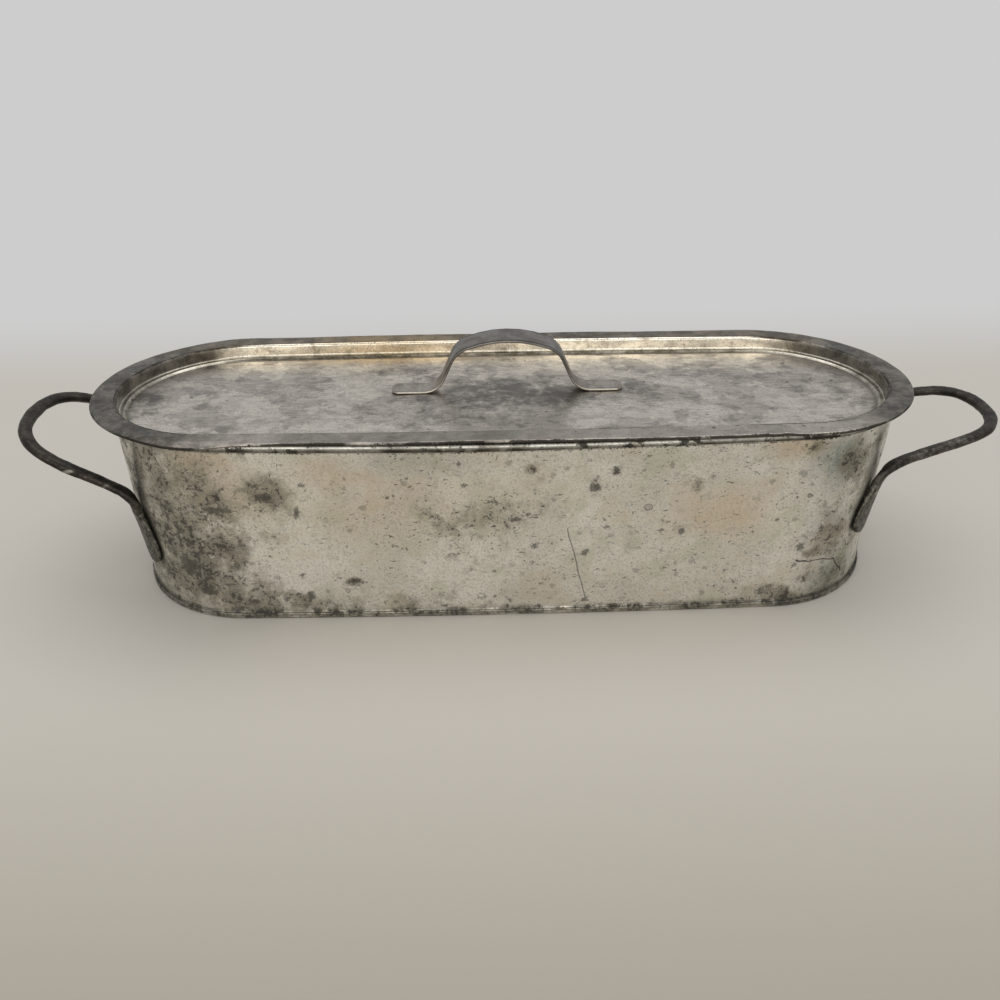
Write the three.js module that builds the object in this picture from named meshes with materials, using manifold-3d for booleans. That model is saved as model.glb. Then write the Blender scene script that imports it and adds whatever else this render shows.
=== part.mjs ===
// A tinned sheet-steel fish kettle: oblong body, drop-in lid and a pierced lifting rack.
// Millimetres, +Z up, X along the kettle. The origin is the middle of the base's underside.
import * as THREE from 'three';
import { mergeGeometries, mergeVertices } from 'three/addons/utils/BufferGeometryUtils.js';
import Module from 'manifold-3d';

const wasm = await Module();
wasm.setup();

// Fits
const CLEAR = 0.3; // gap between two pieces that touch
const LAYER_GAP = 0.3; // gap between the layers of a folded edge

// Body: an oblong of four tangent arcs that widens from the foot to the rim. A bulge is how
// far the middle of a long side stands out beyond the radius of the ends.
const BODY_SHEET = 0.9;
const BODY_HEIGHT = 142.8;
const TOP_HALF_LENGTH = 287.2;
const TOP_HALF_WIDTH = 99.2;
const TOP_BULGE = 7.3;
const END_FLARE = 5; // how much further out the wall is at the top than at the foot
const SIDE_FLARE = 6;
const BULGE_FLARE = 5.1;
const FOOT_HALF_LENGTH = TOP_HALF_LENGTH - END_FLARE;
const FOOT_HALF_WIDTH = TOP_HALF_WIDTH - SIDE_FLARE;
const FOOT_BULGE = TOP_BULGE - BULGE_FLARE;
const RIM_WIRE_DIAMETER = 3;
const RIM_SET_RADIUS = 2; // small inward bend below the rolled rim
const RIM_SET_ANGLE = 30;
const RIM_CURL_ANGLE = 280; // how far the sheet is rolled round the wire
const SEAM_LAP = 14; // overlap of the two wall sheets at each end
const SEAM_STEP = 3; // run in which the lap steps out over the other sheet
const SEAM_RIM_NOTCH = 9; // the lap stops this far below the top of the rim

// Base
const BASE_SHEET = 1;
const BASE_LIP_THICKNESS = 1.8;
const BASE_LIP_HEIGHT = 4.5;
const BASE_EDGE_RADIUS = 1.2;

// End handles: a bar bent to a bow, its ends hammered out to leaves that lie on the wall
const BAR_WIDTH = 9.2;
const BAR_THICKNESS = 6.6;
const LEAF_WIDTH = 24;
const LEAF_THICKNESS = 3.2; // at its foot; it swells to the bar's thickness at the neck
const LEAF_OUTLINE = [ // share of the leaf's length from its foot, share of its full width
  [0, 0.35], [0.03, 0.62], [0.1, 0.86], [0.25, 1], [0.45, 0.98], [0.75, 0.76], [1, 0.45],
];
const NECK_RUN = 11; // from the leaf up to the bow's root, and again from there into the bow
const LEAF_SQUARENESS = 3.2; // 2 is an ellipse, more is squarer
const BAR_SQUARENESS = 2.3;

// How each bow was bent, by hand and not quite alike: the leaf's length, the angles round the
// end at which the leaf's foot and the bow's root lie, the root's height and how far it stands
// off the wall, and the control points of the curve
const LEFT_BOW = {
  leafLength: 42, leafAngle: 41.5, rootAngle: 38.3, rootHeight: 84.4, rootStand: 0.5,
  tilt: 28.3, reach: 92.5, knee: 34, pinch: 12.3, halfWidth: 70.3, lean: 4,
};
const RIGHT_BOW = {
  leafLength: 38, leafAngle: 45.8, rootAngle: 38.3, rootHeight: 96, rootStand: 3,
  tilt: 9.5, reach: 100.5, knee: 39, pinch: 26.5, halfWidth: 65.4, lean: 8.8,
};

// Lid: a pressed pan whose flange rests on the rim
const LID_SHEET = 1;
const LID_OVER_END = 12.8; // from the wall's outer face to the lid's edge, at the ends
const LID_OVER_SIDE = 3.5; // and at the long sides
const LID_BULGE = 2.7;
const LID_SHIFT = -1.5; // the lid's play lets it lie a little towards the left handle
const LID_HEM = 5;
const LID_FLANGE = 17.2;
const LID_DROP = 9.4;
const LID_BEND_RADIUS = 1.6;
const LID_LEDGE = 2.4;
const LID_STEP = 1.6;
const LID_PANEL_LAP = 2; // run in which the pressed edge and the flat panel are one

// Lid strap: sheet with its long edges folded under
const STRAP_SHEET = 0.9;
const STRAP_CROWN_WIDTH = 27;
const STRAP_FOOT_WIDTH = 18;
const STRAP_HEM = 3.6;
const STRAP_X = 1.5;
const STRAP_Y = 10;
const STRAP_CROWN_RADIUS = 85;
const STRAP_CROWN_ANGLE = 21;
const STRAP_SHOULDER_RADIUS = 20;
const STRAP_LEG_ANGLE = 66;
const STRAP_LEG_RUN = 16.5;
const STRAP_FOOT_RADIUS = 16;
const STRAP_FOOT_RUN = 24;
const STRAP_CORNER = 4;

// Rack
const RACK_SHEET = 1.2;
const RACK_PLAY = 4; // all round, between the rack's edge and the wall
const RACK_HEM = 6;
const RACK_LIFT = 22; // from the kettle's floor to the rack's underside
const HOLE_DIAMETER = 10;
const HOLE_PITCH = 32;
const HOLE_ROWS = 5;
const HOLE_MARGIN = 9; // metal left between a hole and the rack's edge
const HOLE_APART = 1; // and at least this between a hole and a pad or a foot

// Rack handles: a round bar arched across the rack, its ends flattened and riveted down
const HOOP_BAR = 6;
const HOOP_INSET = 40; // from the rack's end to the arch
const HOOP_HALF_SPAN = 34;
const HOOP_HEIGHT = 86;
const HOOP_FOOT_RADIUS = 9;
const HOOP_PAD_LENGTH = 30;
const HOOP_PAD_WIDTH = 13;
const HOOP_PAD_THICKNESS = 2.4;
const HOOP_PAD_OUTLINE = [[0, 0.5], [0.2, 0.9], [0.5, 1]]; // in pad widths: from its end, across
const RIVET_SHANK = 4;
const RIVET_HEAD = 8;
const RIVET_HEAD_HEIGHT = 2.2;
const RIVET_TAIL = 7;
const RIVET_TAIL_HEIGHT = 1.3;
const RIVET_SPACING = 12;

// Rack feet: bent strips soldered under the rack
const RACK_FOOT_SHEET = 1.5;
const RACK_FOOT_WIDTH = 14;
const RACK_FOOT_TAB = 9;
const RACK_FOOT_TREAD = 12;
const RACK_FOOT_BEND = 2.5;
const RACK_FOOT_X = 186;
const RACK_FOOT_Y = 54;

// Fineness
const END_STEPS = 8; // facets in a quarter turn of an end
const SIDE_STEPS = 3;
const BEND_STEP = 45; // degrees of a bend between two points
const FOLD_STEP = 90; // and of a fold right back on itself
const BAR_SIDES = 10;
const WIRE_SIDES = 6;
const NECK_STEPS = 4;
const BOW_STEPS = 11; // in half a bow
const HOOP_BEND_STEPS = 4;
const HOOP_ARC_STEPS = 6;
const HOLE_SIDES = 8;
const RIVET_STEPS = 2; // in a rivet's head, from its edge to its top
const DRILL_SIDES = 8;
const DRILL_RUN = 1; // how far a drill passes the faces it goes through

const degrees = THREE.MathUtils.degToRad;
const lerp = THREE.MathUtils.lerp;

// Outlines

// An oblong of four tangent arcs: two ends, and two long sides of a much larger radius.
function oblong(halfLength, halfWidth, bulge) {
  const endRadius = halfWidth - bulge;
  const endX = halfLength - endRadius;
  const sideRadius = (endX ** 2 + halfWidth ** 2 - endRadius ** 2) / (2 * (halfWidth - endRadius));
  const sideY = halfWidth - sideRadius;
  const joint = Math.atan2(-sideY, endX);
  return { endX, endRadius, sideRadius, sideY, joint };
}

// A station on an end, at a length along the wall from the middle of that end.
function endStation(arc, length) {
  const along = length / ((FOOT_HALF_WIDTH - FOOT_BULGE) * Math.PI / 2);
  const leavesMiddle = arc === 'right rear' || arc === 'left front';
  return { arc, along: leavesMiddle ? along : 1 - along };
}

// Stations go round an oblong from the middle of the right end, over the rear side, to the
// left end and back along the front. Each holds its arc and how far along that arc it is.
function arcStations(arc, steps, first = 0) {
  return Array.from({ length: steps - first }, (_, i) => ({ arc, along: (i + first) / steps }));
}

// The two wall sheets meet a little to the front of the middle of each end.
const HALF_LAP = SEAM_LAP / 2;
const REAR_HALF = [
  ...arcStations('right rear', END_STEPS),
  ...arcStations('rear', SIDE_STEPS),
  ...arcStations('left rear', END_STEPS),
  { arc: 'left front', along: 0 },
];
const FRONT_HALF = [
  ...arcStations('left front', END_STEPS, 1),
  ...arcStations('front', SIDE_STEPS),
  ...arcStations('right front', END_STEPS),
];
const ALL_STATIONS = [
  ...REAR_HALF,
  endStation('left front', HALF_LAP),
  ...FRONT_HALF,
  endStation('right front', HALF_LAP),
];

// The direction that the outline faces at a station, as an angle from +X.
function facing(outline, { arc, along }) {
  const { joint } = outline;
  const turns = {
    'right rear': [0, joint],
    rear: [joint, Math.PI - joint],
    'left rear': [Math.PI - joint, Math.PI],
    'left front': [Math.PI, Math.PI + joint],
    front: [Math.PI + joint, 2 * Math.PI - joint],
    'right front': [2 * Math.PI - joint, 2 * Math.PI],
  };
  const [start, end] = turns[arc];
  return lerp(start, end, along);
}

// The point of the outline that faces the given way, moved outwards by offset.
function outlinePoint(outline, angle, offset, z) {
  const c = Math.cos(angle);
  const s = Math.sin(angle);
  const { endX, endRadius, sideRadius, sideY, joint } = outline;
  const onSide = Math.abs(s) > Math.sin(joint) + 1e-9;
  const radius = (onSide ? sideRadius : endRadius) + offset;
  const x = onSide ? 0 : Math.sign(c) * endX;
  const y = onSide ? Math.sign(s) * sideY : 0;
  return new THREE.Vector3(x + radius * c, y + radius * s, z);
}

function stationPoint(outline, station, offset, z) {
  return outlinePoint(outline, facing(outline, station), offset, z);
}

// The wall's outer face at a height.
function bodyOutline(z) {
  const t = z / BODY_HEIGHT;
  return oblong(
    lerp(FOOT_HALF_LENGTH, TOP_HALF_LENGTH, t),
    lerp(FOOT_HALF_WIDTH, TOP_HALF_WIDTH, t),
    lerp(FOOT_BULGE, TOP_BULGE, t),
  );
}

function outlineShape(outline, offset) {
  const points = ALL_STATIONS.map((station) => stationPoint(outline, station, offset, 0));
  return new THREE.Shape(points.map((p) => new THREE.Vector2(p.x, p.y)));
}

// Sheet metal in section

// The middle line of a bent sheet: straight runs and tangent bends, left turns positive.
function bentLine(start, heading, steps) {
  let [x, y] = start;
  let turn = degrees(heading);
  const line = [{ x, y, turn }];
  for (const step of steps) {
    if (step.run !== undefined) {
      x += step.run * Math.cos(turn);
      y += step.run * Math.sin(turn);
      line.push({ x, y, turn });
    } else {
      const side = Math.sign(step.bend);
      const centreX = x - side * step.radius * Math.sin(turn);
      const centreY = y + side * step.radius * Math.cos(turn);
      const count = Math.ceil(Math.abs(step.bend) / (step.every ?? BEND_STEP));
      const from = turn;
      for (let i = 1; i <= count; i += 1) {
        turn = from + degrees(step.bend) * (i / count);
        x = centreX + side * step.radius * Math.sin(turn);
        y = centreY - side * step.radius * Math.cos(turn);
        line.push({ x, y, turn });
      }
    }
  }
  return line;
}

// The closed section of a sheet of the given thickness along a bent line.
function sheetSection(line, thickness) {
  const half = thickness / 2;
  const side = (sign) => line.map(({ x, y, turn }) => new THREE.Vector2(
    x - sign * half * Math.sin(turn),
    y + sign * half * Math.cos(turn),
  ));
  return [...side(-1), ...side(1).reverse()];
}

// Solids

// Faces that fill a flat section, each running the same way round as the section itself. The
// section of a sheet is filled in steps: one across the sheet for each stop, then the rest.
function capFaces(section, stops) {
  const way = Math.sign(THREE.ShapeUtils.area(section));
  const last = section.length - 1;
  const corners = section.map((_, i) => i);
  const parts = corners.slice(0, stops).map((i) => [i, i + 1, last - i - 1, last - i]);
  parts.push(corners.slice(stops, section.length - stops));
  return parts.flatMap((part) => {
    const outline = part.map((corner) => section[corner]);
    return THREE.ShapeUtils.triangulateShape(outline, []).map((face) => {
      const area = THREE.ShapeUtils.area(face.map((i) => outline[i]));
      const [a, b, c] = face.map((i) => part[i]);
      return Math.sign(area) === way ? [a, b, c] : [a, c, b];
    });
  });
}

function signedVolume(positions, index) {
  const point = (i) => new THREE.Vector3().fromArray(positions, index[i] * 3);
  let volume = 0;
  for (let i = 0; i < index.length; i += 3) {
    volume += point(i).dot(point(i + 1).cross(point(i + 2))) / 6;
  }
  return volume;
}

// Skins a row of rings that have equally many points. An open row is closed by two caps,
// which take their faces from the flat section that the rings were made of.
function skin(rings, section, stops = 0) {
  const closed = section === undefined;
  const size = rings[0].length;
  const positions = rings.flat().flatMap((p) => [p.x, p.y, p.z]);
  const index = [];
  const spans = closed ? rings.length : rings.length - 1;
  for (let i = 0; i < spans; i += 1) {
    const a = i * size;
    const b = ((i + 1) % rings.length) * size;
    for (let j = 0; j < size; j += 1) {
      const k = (j + 1) % size;
      index.push(a + j, b + j, b + k, a + j, b + k, a + k);
    }
  }
  if (!closed) {
    const end = (rings.length - 1) * size;
    for (const [a, b, c] of capFaces(section, stops)) {
      index.push(a, b, c, end + a, end + c, end + b);
    }
  }
  if (signedVolume(positions, index) < 0) {
    index.reverse();
  }
  const geometry = new THREE.BufferGeometry();
  geometry.setAttribute('position', new THREE.Float32BufferAttribute(positions, 3));
  geometry.setIndex(index);
  return geometry;
}

// Carries a section round an oblong: its x is the offset outwards and its y the height.
function carryRound(stations, section, outlineAt, { closed = true, stops = 0 } = {}) {
  const rings = stations.map((station) => section.map(
    ({ x, y }) => stationPoint(outlineAt(y), station, x, y),
  ));
  return skin(rings, closed ? undefined : section, stops);
}

// Puts together solids that meet in whole faces, and drops the faces they meet in.
function weld(...geometries) {
  const whole = mergeVertices(mergeGeometries(geometries), 1e-4);
  const faces = [];
  for (let i = 0; i < whole.index.count; i += 3) {
    faces.push([0, 1, 2].map((corner) => whole.index.getX(i + corner)));
  }
  const keys = faces.map((face) => [...face].sort((a, b) => a - b).join());
  const single = faces.filter((_, i) => keys.indexOf(keys[i]) === keys.lastIndexOf(keys[i]));
  return whole.setIndex(single.flat());
}

function toManifold(geometry) {
  const plain = geometry.clone();
  plain.deleteAttribute('normal');
  plain.deleteAttribute('uv');
  const merged = mergeVertices(plain, 1e-4);
  return new wasm.Manifold(new wasm.Mesh({
    numProp: 3,
    vertProperties: new Float32Array(merged.attributes.position.array),
    triVerts: new Uint32Array(merged.index.array),
  }));
}

function fromManifold(solid) {
  const mesh = solid.getMesh();
  const geometry = new THREE.BufferGeometry();
  geometry.setAttribute('position', new THREE.Float32BufferAttribute(mesh.vertProperties, 3));
  geometry.setIndex(Array.from(mesh.triVerts));
  return geometry;
}

function join(...geometries) {
  return fromManifold(geometries.map(toManifold).reduce((all, next) => all.add(next)));
}

function cut(geometry, tools) {
  const start = toManifold(geometry);
  return fromManifold(tools.map(toManifold).reduce((left, tool) => left.subtract(tool), start));
}

function extrude(shape, depth, z = 0) {
  const geometry = new THREE.ExtrudeGeometry(shape, { depth, bevelEnabled: false });
  return geometry.translate(0, 0, z);
}

function drill(x, y, diameter, low, high) {
  const radius = diameter / 2;
  const tool = new THREE.CylinderGeometry(radius, radius, high - low, DRILL_SIDES);
  return tool.rotateX(Math.PI / 2).translate(x, y, (low + high) / 2);
}

// Materials
const metal = (color, roughness, metalness) => new THREE.MeshStandardMaterial({
  color,
  roughness,
  metalness,
});
const tinnedSheet = () => metal(0xa8a596, 0.42, 1);
const tarnishedSheet = () => metal(0x827d76, 0.5, 1);
const darkIron = () => metal(0x45403c, 0.6, 0.9);
const brightWire = () => metal(0x9c9a92, 0.4, 1);

function piece(name, geometry, material) {
  const mesh = new THREE.Mesh(geometry, material);
  mesh.name = name;
  return mesh;
}

// Body

const FLOOR = BASE_SHEET;
const WALL_FOOT = FLOOR + CLEAR;
const ROLL_RADIUS = RIM_WIRE_DIAMETER / 2 + CLEAR + BODY_SHEET / 2; // to the sheet's middle
const ROLL_CENTRE_Z = BODY_HEIGHT - ROLL_RADIUS - BODY_SHEET / 2;
const ROLL_CENTRE_X = ROLL_RADIUS * Math.cos(degrees(RIM_SET_ANGLE)) - BODY_SHEET / 2
  - RIM_SET_RADIUS * (1 - Math.cos(degrees(RIM_SET_ANGLE)));

// The wall in section: up from the foot, set in a little, then rolled out round the wire.
// Stops are heights at which the section gets a point of its own.
function wallSection(stops = []) {
  const set = degrees(RIM_SET_ANGLE);
  const bendStart = ROLL_CENTRE_Z - (ROLL_RADIUS + RIM_SET_RADIUS) * Math.sin(set);
  const heights = [WALL_FOOT, ...stops, bendStart];
  const runs = heights.slice(1).map((height, i) => ({ run: height - heights[i] }));
  return sheetSection(bentLine([-BODY_SHEET / 2, WALL_FOOT], 90, [
    ...runs,
    { bend: RIM_SET_ANGLE, radius: RIM_SET_RADIUS },
    { bend: -RIM_CURL_ANGLE, radius: ROLL_RADIUS, every: 35 },
  ]), BODY_SHEET);
}

const REAR_WALL = [
  endStation('right front', HALF_LAP - CLEAR / 2),
  ...REAR_HALF,
  endStation('left front', HALF_LAP - CLEAR / 2),
];
const FRONT_EDGE = HALF_LAP + CLEAR / 2;
const FRONT_WALL = [
  endStation('left front', FRONT_EDGE),
  endStation('left front', HALF_LAP + SEAM_STEP),
  ...FRONT_HALF,
  endStation('right front', HALF_LAP + SEAM_STEP),
  endStation('right front', FRONT_EDGE),
];
const LAP_LOW = BASE_LIP_HEIGHT + 2 * CLEAR;
const LAP_HIGH = BODY_HEIGHT - SEAM_RIM_NOTCH;

// The strip of the front sheet that steps out and lies over the rear sheet's edge. Its plan
// gives how far along the wall each corner is from the middle of the end, and how far out.
function seamLap(end) {
  const out = CLEAR + BODY_SHEET;
  const plan = [
    [HALF_LAP + SEAM_STEP, 0],
    [HALF_LAP, out],
    [0, out],
    [-HALF_LAP, out],
    [-HALF_LAP, CLEAR],
    [0, CLEAR],
    [HALF_LAP, CLEAR],
    [FRONT_EDGE, 0],
  ];
  const rings = [LAP_LOW, LAP_HIGH].map((z) => plan.map(([along, offset]) => {
    const station = endStation(along < 0 ? `${end} rear` : `${end} front`, Math.abs(along));
    return stationPoint(bodyOutline(z), station, offset, z);
  }));
  if (end === 'right') {
    rings.forEach((ring) => ring.reverse()); // so that its faces meet those of the sheet
  }
  return skin(rings, rings[0].map(({ x, y }) => new THREE.Vector2(x, y)));
}

function wallFront() {
  const stops = [LAP_LOW, LAP_HIGH];
  const sheet = carryRound(FRONT_WALL, wallSection(stops), bodyOutline, {
    closed: false,
    stops: stops.length,
  });
  return weld(sheet, seamLap('left'), seamLap('right'));
}

function wallRear() {
  return carryRound(REAR_WALL, wallSection(), bodyOutline, { closed: false });
}

function rimWire() {
  const section = new THREE.EllipseCurve(0, 0, RIM_WIRE_DIAMETER / 2, RIM_WIRE_DIAMETER / 2)
    .getPoints(WIRE_SIDES).slice(1)
    .map(({ x, y }) => new THREE.Vector2(x + ROLL_CENTRE_X, y + ROLL_CENTRE_Z));
  return carryRound(ALL_STATIONS, section, bodyOutline);
}

// A closed section's points, each given once.
function withoutDoubles(points) {
  const ring = points.filter((p, i) => i === 0 || p.distanceTo(points[i - 1]) > 1e-6);
  return ring[0].distanceTo(ring[ring.length - 1]) < 1e-6 ? ring.slice(0, -1) : ring;
}

// The base: a flat sheet whose folded edge stands up round the foot of the wall.
function basePlate() {
  const inner = CLEAR;
  const outer = inner + BASE_LIP_THICKNESS;
  const round = BASE_EDGE_RADIUS;
  const top = BASE_LIP_THICKNESS / 2;
  const section = new THREE.Path()
    .moveTo(inner, 0)
    .lineTo(outer - round, 0)
    .absarc(outer - round, round, round, -Math.PI / 2, 0, false)
    .lineTo(outer, BASE_LIP_HEIGHT - top)
    .absarc(outer - top, BASE_LIP_HEIGHT - top, top, 0, Math.PI, false)
    .getPoints(2);
  const lip = carryRound(ALL_STATIONS, withoutDoubles(section), bodyOutline);
  const middle = inner + BASE_LIP_THICKNESS / 2;
  return join(extrude(outlineShape(bodyOutline(0), middle), BASE_SHEET), lip);
}

// Bars with flattened ends

const BAR_CIRCLE = Array.from({ length: BAR_SIDES }, (_, i) => {
  const angle = (2 * Math.PI * (i + 0.5)) / BAR_SIDES;
  return new THREE.Vector2(Math.cos(angle), Math.sin(angle));
});

// One cross-section of a bar, with its thickness along the normal. A curl bends its edges
// away from the normal, by the curl times the square of the distance from the middle.
function barRing({ centre, tangent, normal, width, thickness, squareness, curl = 0 }) {
  const up = normal.clone().addScaledVector(tangent, -normal.dot(tangent)).normalize();
  const across = new THREE.Vector3().crossVectors(tangent, up);
  const squared = (value) => Math.sign(value) * Math.abs(value) ** (2 / squareness);
  return BAR_CIRCLE.map((point) => {
    const w = (width / 2) * squared(point.x);
    const h = (thickness / 2) * squared(point.y) - curl * w * w;
    return centre.clone().addScaledVector(across, w).addScaledVector(up, h);
  });
}

// Turns a half bar, from its foot to the middle of its bow, into the whole one.
function mirrorHalf(rings) {
  const mirrored = rings.slice(0, -1).reverse().map((ring) => (
    ring.map(({ x, y, z }) => new THREE.Vector3(x, -y, z))
  ));
  return [...rings, ...mirrored];
}

// End handles, drawn at the right end of the kettle

function wallPoint(angle, z, offset) {
  return outlinePoint(bodyOutline(z), -degrees(angle), offset, z);
}

function endHandle(bend) {
  const { leafLength, leafAngle, rootAngle, rootHeight, rootStand } = bend;
  const { tilt, reach, knee, pinch, halfWidth, lean } = bend;
  const leafThickness = (along) => lerp(LEAF_THICKNESS, BAR_THICKNESS, along ** 2);
  const leafPoint = (along) => wallPoint(
    lerp(leafAngle, rootAngle, along),
    rootHeight - NECK_RUN - leafLength * (1 - along),
    CLEAR + leafThickness(along) / 2,
  );
  const root = wallPoint(rootAngle, rootHeight, CLEAR + BAR_THICKNESS / 2 + rootStand);
  const slope = degrees(tilt);
  const outwards = new THREE.Vector3(Math.cos(slope), 0, Math.sin(slope));
  const bowPoint = (out, y) => new THREE.Vector3(root.x, y, root.z).addScaledVector(outwards, out);
  const bow = new THREE.CubicBezierCurve3(
    root,
    bowPoint(knee, root.y + pinch),
    bowPoint(reach, -halfWidth),
    bowPoint(reach, 0),
  );
  const bowStart = NECK_RUN / bow.getLength();
  const neck = new THREE.QuadraticBezierCurve3(leafPoint(1), root, bow.getPoint(bowStart));
  const bowNormal = new THREE.Vector3(Math.sin(slope), 0, -Math.cos(slope));
  const leafTangent = leafPoint(1).sub(leafPoint(0)).normalize();
  const wallNormal = (along) => {
    const angle = degrees(lerp(leafAngle, rootAngle, along));
    return new THREE.Vector3(Math.cos(angle), -Math.sin(angle), 0);
  };
  const curl = 1 / (2 * (TOP_HALF_WIDTH - TOP_BULGE)); // the leaf lies on the round end
  const rings = LEAF_OUTLINE.map(([along, share]) => barRing({
    centre: leafPoint(along),
    tangent: leafTangent,
    normal: wallNormal(along),
    width: share * LEAF_WIDTH,
    thickness: leafThickness(along),
    squareness: LEAF_SQUARENESS,
    curl,
  }));
  const topWidth = LEAF_OUTLINE[LEAF_OUTLINE.length - 1][1] * LEAF_WIDTH;
  for (let i = 1; i <= NECK_STEPS; i += 1) {
    const t = i / NECK_STEPS;
    rings.push(barRing({
      centre: neck.getPoint(t),
      tangent: neck.getTangent(t),
      normal: wallNormal(1).lerp(bowNormal, t),
      width: lerp(topWidth, BAR_WIDTH, t),
      thickness: BAR_THICKNESS,
      squareness: lerp(LEAF_SQUARENESS, BAR_SQUARENESS, t),
      curl: curl * (1 - t),
    }));
  }
  for (let i = 1; i <= BOW_STEPS; i += 1) {
    const t = lerp(bowStart, 1, i / BOW_STEPS);
    rings.push(barRing({
      centre: bow.getPoint(t),
      tangent: bow.getTangent(t),
      normal: bowNormal,
      width: BAR_WIDTH,
      thickness: BAR_THICKNESS,
      squareness: BAR_SQUARENESS,
    }));
  }
  const whole = mirrorHalf(rings);
  for (const point of whole.flat()) {
    point.y += lean * THREE.MathUtils.smoothstep(point.x - root.x, 0, reach);
  }
  return skin(whole, BAR_CIRCLE);
}

function kettle() {
  const group = new THREE.Group();
  const left = piece('handle_left', endHandle(LEFT_BOW), darkIron());
  left.rotation.z = Math.PI;
  group.add(
    piece('base_plate', basePlate(), tinnedSheet()),
    piece('wall_front', wallFront(), tinnedSheet()),
    piece('wall_rear', wallRear(), tinnedSheet()),
    piece('rim_wire', rimWire(), brightWire()),
    piece('handle_right', endHandle(RIGHT_BOW), darkIron()),
    left,
  );
  return group;
}

// Lid, with z = 0 at the underside of its folded edge

const HEM_FOLD = (LID_SHEET + LAYER_GAP) / 2;
const LID_TOP = 2 * LID_SHEET + LAYER_GAP;
const LID_PANEL_TOP = LID_TOP - LID_DROP - LID_STEP;

function lidPan() {
  const section = sheetSection(bentLine([-LID_HEM, LID_SHEET / 2], 0, [
    { run: LID_HEM - HEM_FOLD - LID_SHEET / 2 },
    { bend: 180, radius: HEM_FOLD, every: FOLD_STEP },
    { run: LID_FLANGE - LID_BEND_RADIUS - HEM_FOLD - LID_SHEET / 2 },
    { bend: 90, radius: LID_BEND_RADIUS },
    { run: LID_DROP - 2 * LID_BEND_RADIUS },
    { bend: -90, radius: LID_BEND_RADIUS },
    { run: LID_LEDGE },
    { bend: 45, radius: LID_BEND_RADIUS },
    { run: (LID_STEP - 2 * LID_BEND_RADIUS * (1 - Math.SQRT1_2)) * Math.SQRT2 },
    { bend: -45, radius: LID_BEND_RADIUS },
    { run: LID_PANEL_LAP },
  ]), LID_SHEET);
  const outline = oblong(
    TOP_HALF_LENGTH + LID_OVER_END,
    TOP_HALF_WIDTH + LID_OVER_SIDE,
    LID_BULGE,
  );
  const edge = carryRound(ALL_STATIONS, section, () => outline);
  const inset = Math.min(...section.map(({ x }) => x)) + LID_PANEL_LAP / 2;
  const panel = extrude(outlineShape(outline, inset), LID_SHEET, LID_PANEL_TOP - LID_SHEET);
  return join(edge, panel);
}

// Lid strap, drawn from the middle of its crown to one foot and mirrored

function strapLine() {
  const half = bentLine([0, 0], 0, [
    { bend: -STRAP_CROWN_ANGLE, radius: STRAP_CROWN_RADIUS, every: 7 },
    { bend: STRAP_CROWN_ANGLE - STRAP_LEG_ANGLE, radius: STRAP_SHOULDER_RADIUS, every: 9 },
    { run: STRAP_LEG_RUN },
    { bend: STRAP_LEG_ANGLE, radius: STRAP_FOOT_RADIUS, every: 13 },
    { run: STRAP_FOOT_RUN - STRAP_CORNER },
    { run: STRAP_CORNER },
  ]);
  const other = half.slice(1).reverse().map(({ x, y, turn }) => ({ x: -x, y, turn: -turn }));
  return [...other, ...half];
}

function strapSection(width) {
  const top = STRAP_SHEET / 2;
  const folded = -top - STRAP_SHEET;
  const hem = width / 2 - STRAP_HEM;
  return [[width / 2, folded], [width / 2, top], [-width / 2, top], [-width / 2, folded],
    [-hem, folded], [-hem, -top], [hem, -top], [hem, folded]]
    .map(([x, y]) => new THREE.Vector2(x, y));
}

const STRAP_LINE = strapLine();
const STRAP_RISE = -Math.min(...STRAP_LINE.map(({ y }) => y));
const STRAP_SOLE = 1.5 * STRAP_SHEET; // from the strap's middle line down to its folded edges

function lidStrap() {
  const last = STRAP_LINE.length - 1;
  const rings = STRAP_LINE.map(({ x, y, turn }, i) => {
    const rise = THREE.MathUtils.smoothstep((y + STRAP_RISE) / STRAP_RISE, 0, 1);
    const clipped = i === 0 || i === last ? 2 * STRAP_CORNER : 0;
    const width = lerp(STRAP_FOOT_WIDTH, STRAP_CROWN_WIDTH, rise) - clipped;
    return strapSection(width).map((p) => new THREE.Vector3(
      x - p.y * Math.sin(turn),
      p.x,
      y + STRAP_RISE + STRAP_SOLE + p.y * Math.cos(turn),
    ));
  });
  return skin(rings, strapSection(STRAP_FOOT_WIDTH - 2 * STRAP_CORNER));
}

function lid() {
  const group = new THREE.Group();
  const strap = piece('lid_strap', lidStrap(), tarnishedSheet());
  strap.position.set(STRAP_X, STRAP_Y, LID_PANEL_TOP + CLEAR);
  group.add(piece('lid_pan', lidPan(), tarnishedSheet()), strap);
  group.position.set(LID_SHIFT, 0, BODY_HEIGHT + CLEAR);
  return group;
}

// Rack, with z = 0 at the plate's upper face

const RACK_TOP = FLOOR + RACK_LIFT + RACK_SHEET;
const RACK_INSET = -BODY_SHEET - RACK_PLAY;
const RACK_OUTLINE = bodyOutline(WALL_FOOT);
const RACK_HALF_LENGTH = FOOT_HALF_LENGTH + RACK_INSET;
const HOOP_X = RACK_HALF_LENGTH - HOOP_INSET;
const PAD_MIDDLE = HOOP_X - HOOP_FOOT_RADIUS - HOOP_PAD_LENGTH / 2;

function rivetSpots() {
  const spots = [];
  for (const side of [-1, 1]) {
    for (const row of [-1, 1]) {
      for (const along of [-0.5, 0.5]) {
        spots.push([side * (PAD_MIDDLE + along * RIVET_SPACING), row * HOOP_HALF_SPAN]);
      }
    }
  }
  return spots;
}

function footSpots() {
  return [-1, 1].flatMap((sx) => [-1, 1].map((sy) => [sx * RACK_FOOT_X, sy * RACK_FOOT_Y]));
}

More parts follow.
